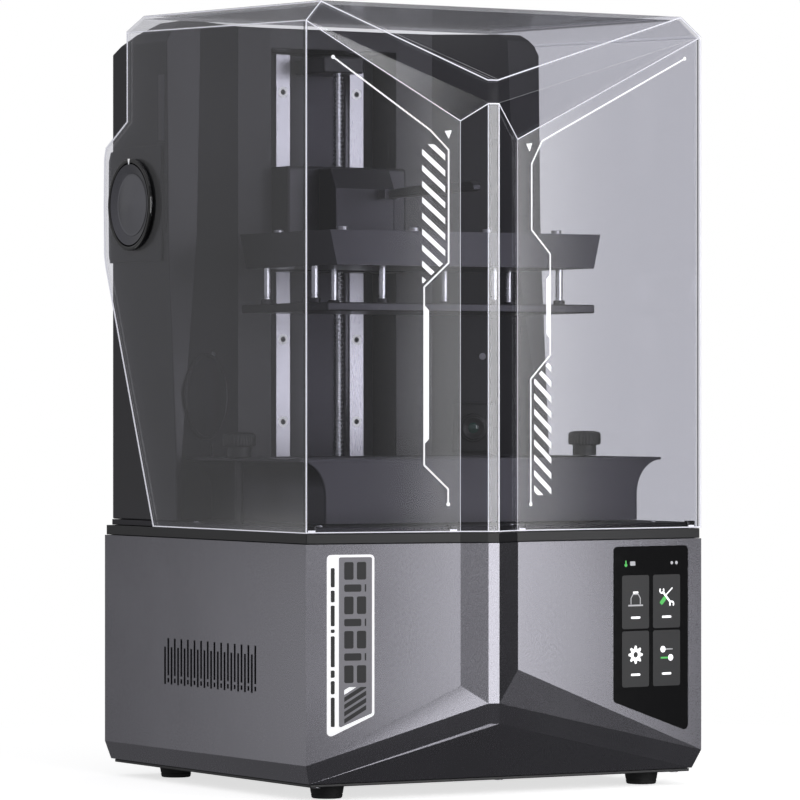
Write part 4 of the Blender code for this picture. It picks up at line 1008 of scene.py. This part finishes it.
# ---- Z axis ---------------------------------------------------------------------------------
class PRINTER_OT_axis(bpy.types.Operator):
    """Makes the lead screw and the rails, and finishes the carriage and the build platform"""

    bl_idname = "printer.axis"
    bl_label = "Z axis"

    def execute(self, context):
        sizes = context.scene.printer_sizes
        self.lead_screw(sizes.thread_pitch / MM, sizes.thread_depth / MM)
        self.rails(sizes.screw_pitch / MM)
        self.pins()
        for node, finish, bevel in (
                ("screw_coupler", "milled", 0.0), ("top_bearing", "tower_plastic", 0.6),
                ("z_column", "deck_metal", 0.6), ("carriage_plate", "anodised", 0.8),
                ("lead_nut", "milled", 0.0), ("bearing_block_left", "ground_steel", 0.5),
                ("bearing_block_right", "ground_steel", 0.5), ("carriage_block", "anodised", 1.2),
                ("platform_head", "anodised", 0.9), ("lever_bracket", "milled", 0.3),
                ("release_lever", "anodised", 0.5), ("build_plate", "anodised", 0.4)):
            dress(node, [finish], bevel)
        top = limits("platform_head")[1][2] - 0.2
        screws("platform_screws", [on_axes((x, y, top), *UP) for x in (-88.0, -30.0, 30.0, 88.0)
                                   for y in (-58.0, 34.0)], (3.6, 3.4, 3.0, 1.8), "carriage")
        return {"FINISHED"}

    def lead_screw(self, pitch, depth):
        """Threaded rod: the radius at height z and angle t is the outer radius less the depth times
        a trapezium wave of z / pitch - t / full turn, fading out at both ends."""
        low, high = limits("lead_screw")
        centre, radius = (low + high) / 2, (high[0] - low[0]) / 2
        rows, steps = int((high[2] - low[2]) / pitch * 8), 24
        z = np.linspace(low[2], high[2], rows)[:, None]
        angle = (np.arange(steps) * 2 * np.pi / steps)[None, :]
        phase = np.mod(z / pitch - angle / (2 * np.pi), 1.0)
        cut = np.clip(2.6 * np.abs(2 * phase - 1) - 0.8, 0, 1)
        fade = np.clip(np.minimum(z - low[2], high[2] - z) / 3.0, 0, 1)
        r = radius - depth * cut * fade - 0.6 * (1 - fade)
        body = np.stack([centre[0] + r * np.cos(angle), centre[1] + r * np.sin(angle),
                         np.broadcast_to(z, r.shape)], -1)
        ends = [np.broadcast_to([*centre[:2], height], body[:1].shape) for height in (low[2], high[2])]
        piece("threaded_rod", [patch(np.concatenate([ends[0], body, ends[1]]))], ["bright_steel"], "screw",
              ["lead_screw"], smooth=50)

    def rails(self, pitch):
        """Profile rails: a section with a waist and chamfers carried up, and screws in counterbores ringed by
        painted highlights.
        """
        for label in ("left", "right"):
            low, high = limits(f"rail_{label}")
            middle, half, deep = (low[0] + high[0]) / 2, (high[0] - low[0]) / 2, high[1] - low[1]
            right = [(half - 0.6, 0.0), (half, 0.6), (half, deep * 0.22), (half - 1.4, deep * 0.36),
                     (half - 1.4, deep * 0.52), (half, deep * 0.66), (half, deep - 0.3), (half - 0.3, deep)]
            section = np.array(right + [(-x, y) for x, y in reversed(right)])
            heights = np.array([low[2], low[2] + 0.4, high[2] - 0.4, high[2]])
            inset = np.array([0.96, 1.0, 1.0, 0.96])
            rows = [np.stack([middle + section[:, 0] * k, low[1] + section[:, 1],
                              np.full(len(section), z)], -1) for z, k in zip(heights, inset)]
            ends = [np.broadcast_to([middle, low[1] + deep / 2, z], rows[0].shape) for z in (low[2], high[2])]
            rail = patch(np.stack([ends[0], *rows, ends[1]]))
            piece(f"profile_rail_{label}", [rail], ["ground_steel"], "base",
                  [f"rail_{label}"])
            screws, rims = [], []
            for index in range(5):
                put = on_axes((middle, low[1], 256.6 + pitch * index), *FRONT)
                screws.append(socket_screw(put, 2.0, 0.14, 2.0, 0.6))
                # Painted highlight: a ring of glowing white ink round each screw stands in for the light on
                # the counterbore's edge.
                rims.append(turned([(2.1, -0.2), (3.9, -0.2), (4.0, 0.0), (3.8, 0.12), (2.3, 0.12),
                                    (2.1, 0.0), (2.1, -0.2)], put, 40))
            piece(f"rail_screws_{label}", screws, ["gloss_black"], "base")
            piece(f"rail_counterbore_painted_highlights_{label}", rims, ["ink"], "base")

    def pins(self):
        """Spring pins: a polished shank with a groove near its foot and a dark collar."""
        for index in range(1, 9):
            low, high = limits(f"guide_pin_{index}")
            foot, top = low[2], high[2]
            put = stand(f"guide_pin_{index}")
            shank = [(0, foot + 3.2), (2.6, foot + 3.2), (2.6, foot + 4.4), (2.3, foot + 4.7),
                     (2.3, foot + 5.3), (2.6, foot + 5.6), (2.6, top - 0.5), (2.2, top), (0, top)]
            piece(f"spring_pin_{index}", [turned(shank, put, 48)], ["bright_steel"], "plate",
                  [f"guide_pin_{index}"])
            collar = [(0, foot), (4.0, foot), (4.2, foot + 0.2), (4.2, foot + 3.0), (3.9, foot + 3.3),
                      (0, foot + 3.3)]
            piece(f"pin_collar_{index}", [turned(collar, put, 48)], ["anodised"], "plate")


# ---- vat ------------------------------------------------------------------------------------
class PRINTER_OT_vat(bpy.types.Operator):
    """Makes the resin vat with its flared wall, and its two knobs"""

    bl_idname = "printer.vat"
    bl_label = "Vat"

    def execute(self, context):
        sizes = context.scene.printer_sizes
        self.trough(sizes.vat_flare / MM)
        for label in ("left", "right"):
            self.knob(label, sizes.knob_ribs)
        dress("release_film", ["film"], 0.0)
        return {"FINISHED"}

    def trough(self, flare):
        """Wall of the vat: rounded rectangles whose size follows a quarter ellipse up to the rim.

        Up the outside at turn p the wall has moved out by (1 - cos p) of its overhang and up by
        sin p of the flare's height; the rim is a half round, and the inside falls straight.
        """
        low, high = limits("vat_body")
        floor, rim = low[2], high[2]
        turn = np.linspace(0, np.pi / 2, 14)
        lean, rise = 1 - np.cos(turn), np.sin(turn)
        share = np.concatenate([[0.0, 0.0], lean, [1.0, 0.985]])
        height = np.concatenate([[floor, floor + 4.0], rim - 1.8 - flare + flare * rise,
                                 [rim - 0.6, rim]])
        rings = []
        for s, z in zip(share, height):
            half_x = 128.0 + s * (high[0] - 128.0)
            rings.append(self.ring(half_x, low[1], high[1], 1.5 + s, z))
        for inset, z in ((0.4, rim), (0.0, rim - 0.5), (0.0, floor + 4.0), (0.0, floor)):
            rings.append(self.ring(125.5 + inset, -89.5 - inset, 54.5 + inset, 8.0, z))
        piece("resin_vat", [patch(np.stack(rings), wrap_rows=True)], ["anodised"], "vat",
              ["vat_body"])

    def ring(self, half_x, y0, y1, radius, z):
        """One rounded rectangle of the wall at height z."""
        flat = round_corners([(half_x, y0), (half_x, y1), (-half_x, y1), (-half_x, y0)], radius, 10)
        return layers([(flat, z)])[0]

    def knob(self, label, ribs):
        """Knob: a domed cap with ribs, a collar that sits on the rim, and a stem."""
        low, high = limits(f"vat_knob_{label}")
        radius, top = (high[0] - low[0]) / 2, high[2]
        profile = [(0, low[2]), (2.6, low[2]), (3.0, low[2] + 0.5), (3.0, 232.3), (8.2, 232.3), (8.6, 232.7),
                   (8.6, 239.6), (9.0, 240.0), (radius - 0.8, 240.1), (radius, 240.9), (radius, 247.6),
                   (radius - 0.7, 248.8), (radius - 2.0, 249.5), (radius - 5.0, 250.0), (0, top)]

        def ribbed(r, angle):
            rim = np.clip((r - radius + 0.9) / 0.9, 0, 1)
            return -0.45 * rim * (0.5 + 0.5 * np.cos(ribs * angle)) ** 3
        piece(f"knurled_knob_{label}", [turned(profile, stand(f"vat_knob_{label}"), ribs * 6, ribbed)],
              ["dark_plastic"], f"knob_{label}", [f"vat_knob_{label}"])


# ---- stage ----------------------------------------------------------------------------------
class PRINTER_OT_stage(bpy.types.Operator):
    """Makes the pale floor, the studio lights, the room's light and the camera"""

    bl_idname = "printer.stage"
    bl_label = "Stage"

    def execute(self, context):
        studio = context.scene.printer_studio
        self.floor()
        self.lights(studio)
        self.room(context, studio.room_light)
        self.camera(context, studio.lens)
        context.scene.view_settings.view_transform = "Standard"
        return {"FINISHED"}

    def floor(self):
        """A wide flat grid, bright of its own so that far off it meets the white background."""
        reach, lines, drop = 30.0, 12, 0.0003
        line = np.linspace(-reach, reach, lines)
        x, y = np.meshgrid(line, line)
        co = np.stack([x, y, np.full(x.shape, -drop)], -1).reshape(-1, 3)
        mesh = bpy.data.meshes.new("floor")
        mesh.from_pydata(co.tolist(), [], grid_faces(lines, lines, False, False).tolist())
        material, tree, place = new_material("matt_white_board")
        noise = add_node(tree, "TexNoise", {"Vector": place, "Scale": 120.0})
        bump = add_node(tree, "Bump", {"Strength": 0.02, "Height": noise.outputs["Fac"]})
        away = add_node(tree, "VectorMath", {0: place}, operation="LENGTH").outputs["Value"]
        far = ranged(tree, away, 0.2, 0.7, 0.0, 1.0)
        board = add_node(tree, "BsdfPrincipled", {
            "Base Color": rgba(linear("#f4f4f4")), "Roughness": 0.8, "Specular IOR Level": 0.1,
            "Emission Color": rgba((1, 1, 1)), "Emission Strength": 0.7, "Normal": bump.outputs[0]})
        white = add_node(tree, "Emission", {"Color": rgba((1, 1, 1)), "Strength": 1.0})
        shader = add_node(tree, "MixShader", {0: far, 1: board.outputs[0],
                                              2: white.outputs[0]})
        add_node(tree, "OutputMaterial", {"Surface": shader.outputs[0]})
        mesh.materials.append(material)
        floor = bpy.data.objects.new("floor", mesh)
        bpy.context.scene.collection.objects.link(floor)
        floor.visible_glossy = floor.visible_diffuse = False

    def lights(self, studio):
        """Panel lights: a wide one right of the front, a narrow one for the ridge, sides and top."""
        for name, centre, aim, size, level in (
                ("key_panel", (0.43, -0.9, 0.30), (0.43, 0.0, 0.30), (0.70, 0.9), studio.key_light),
                ("edge_panel", (0.60, -0.88, 0.30), (0.60, 0.0, 0.30), (0.30, 0.9), studio.key_light * 0.45),
                ("ridge_panel", (-0.46, -3.0, 0.30), (-0.03, -0.16, 0.30), (0.44, 2.2), studio.ridge_light),
                ("side_panel", (-0.84, 0.67, 0.02), (-0.33, -0.19, 0.02), (0.5, 0.3), studio.fill_light),
                ("top_panel", (0.1, -0.3, 1.7), (0.0, 0.0, 0.3), (1.4, 1.2), studio.fill_light * 0.8)):
            lamp = bpy.data.lights.new(name, "AREA")
            lamp.shape = "RECTANGLE"
            lamp.size, lamp.size_y = size
            lamp.energy = level * math.pi * size[0] * size[1]
            made = bpy.data.objects.new(name, lamp)
            bpy.context.scene.collection.objects.link(made)
            made.visible_camera = False
            self.aim(made, centre, aim)

    def aim(self, made, centre, target):
        """Puts a light or camera at centre with its own -Z towards target and +Y up."""
        back = unit(np.subtract(centre, target))
        right = unit(np.cross((0, 0, 1), back))
        up = np.cross(back, right)
        made.matrix_world = Matrix([*zip(right, up, back, centre), (0, 0, 0, 1)])

    def room(self, context, level):
        """Background: white to look at, and a dim grey room, darker below, for light and mirrors."""
        world = bpy.data.worlds.new("studio")
        context.scene.world = world
        world.use_nodes = True
        tree = world.node_tree
        tree.nodes.clear()
        way = add_node(tree, "TexCoord").outputs["Generated"]
        axes = add_node(tree, "SeparateXYZ", {0: way}).outputs
        shade = ranged(tree, axes["Z"], -0.6, 0.9, 0.45 * level, 1.25 * level)
        left = ranged(tree, axes["X"], -1.0, 1.0, 1.5, 0.2)
        share = add_node(tree, "Math", {0: shade, 1: left}, operation="MULTIPLY")
        room = add_node(tree, "Background", {"Color": rgba((0.98, 0.98, 1.0)),
                                             "Strength": share.outputs[0]})
        plain = add_node(tree, "Background", {"Color": rgba((1, 1, 1)), "Strength": 1.0})
        seen = add_node(tree, "LightPath").outputs["Is Camera Ray"]
        mixed = add_node(tree, "MixShader", {0: seen, 1: room.outputs[0], 2: plain.outputs[0]})
        add_node(tree, "OutputWorld", {"Surface": mixed.outputs[0]})

    def camera(self, context, lens):
        """A long lens, level, in front of the printer's left corner."""
        view = bpy.data.cameras.new("camera")
        view.lens, view.sensor_width, view.shift_x = lens, 36.0, 0.00425
        view.clip_start, view.clip_end = 0.1, 100.0
        made = bpy.data.objects.new("camera", view)
        context.scene.collection.objects.link(made)
        place = np.array((-1.8408, -3.1075, 0.2726))
        turn = math.radians(30.5)
        self.aim(made, place, place + (math.sin(turn), math.cos(turn), 0.0))
        context.scene.camera = made


# ---- panel and registration -----------------------------------------------------------------
STEPS = (PRINTER_OT_finishes, PRINTER_OT_base, PRINTER_OT_rear, PRINTER_OT_screen, PRINTER_OT_label,
         PRINTER_OT_lid, PRINTER_OT_tower, PRINTER_OT_axis, PRINTER_OT_vat, PRINTER_OT_stage)


class PRINTER_PT_panel(bpy.types.Panel):
    """Sizes, colours, light and the steps that build the printer"""

    bl_idname = "PRINTER_PT_panel"
    bl_label = "Resin printer"
    bl_space_type = "VIEW_3D"
    bl_region_type = "UI"
    bl_category = "Resin printer"

    def draw(self, context):
        for group in ("printer_sizes", "printer_colours", "printer_studio"):
            values = getattr(context.scene, group)
            box = self.layout.box()
            for name in type(values).__annotations__:
                box.prop(values, name)
        for step in STEPS:
            self.layout.operator(step.bl_idname)


GROUPS = {"printer_sizes": PrinterSizes, "printer_colours": PrinterColours, "printer_studio": PrinterStudio}


def register():
    for kind in (*GROUPS.values(), *STEPS, PRINTER_PT_panel):
        bpy.utils.register_class(kind)
    for name, kind in GROUPS.items():
        setattr(bpy.types.Scene, name, PointerProperty(type=kind))


def unregister():
    for name in GROUPS:
        delattr(bpy.types.Scene, name)
    for kind in (PRINTER_PT_panel, *reversed(STEPS), *GROUPS.values()):
        bpy.utils.unregister_class(kind)


def main():
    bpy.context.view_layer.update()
    register()
    for step in STEPS:
        group, name = step.bl_idname.split(".")
        getattr(getattr(bpy.ops, group), name)()


if __name__ == "__main__":
    main()
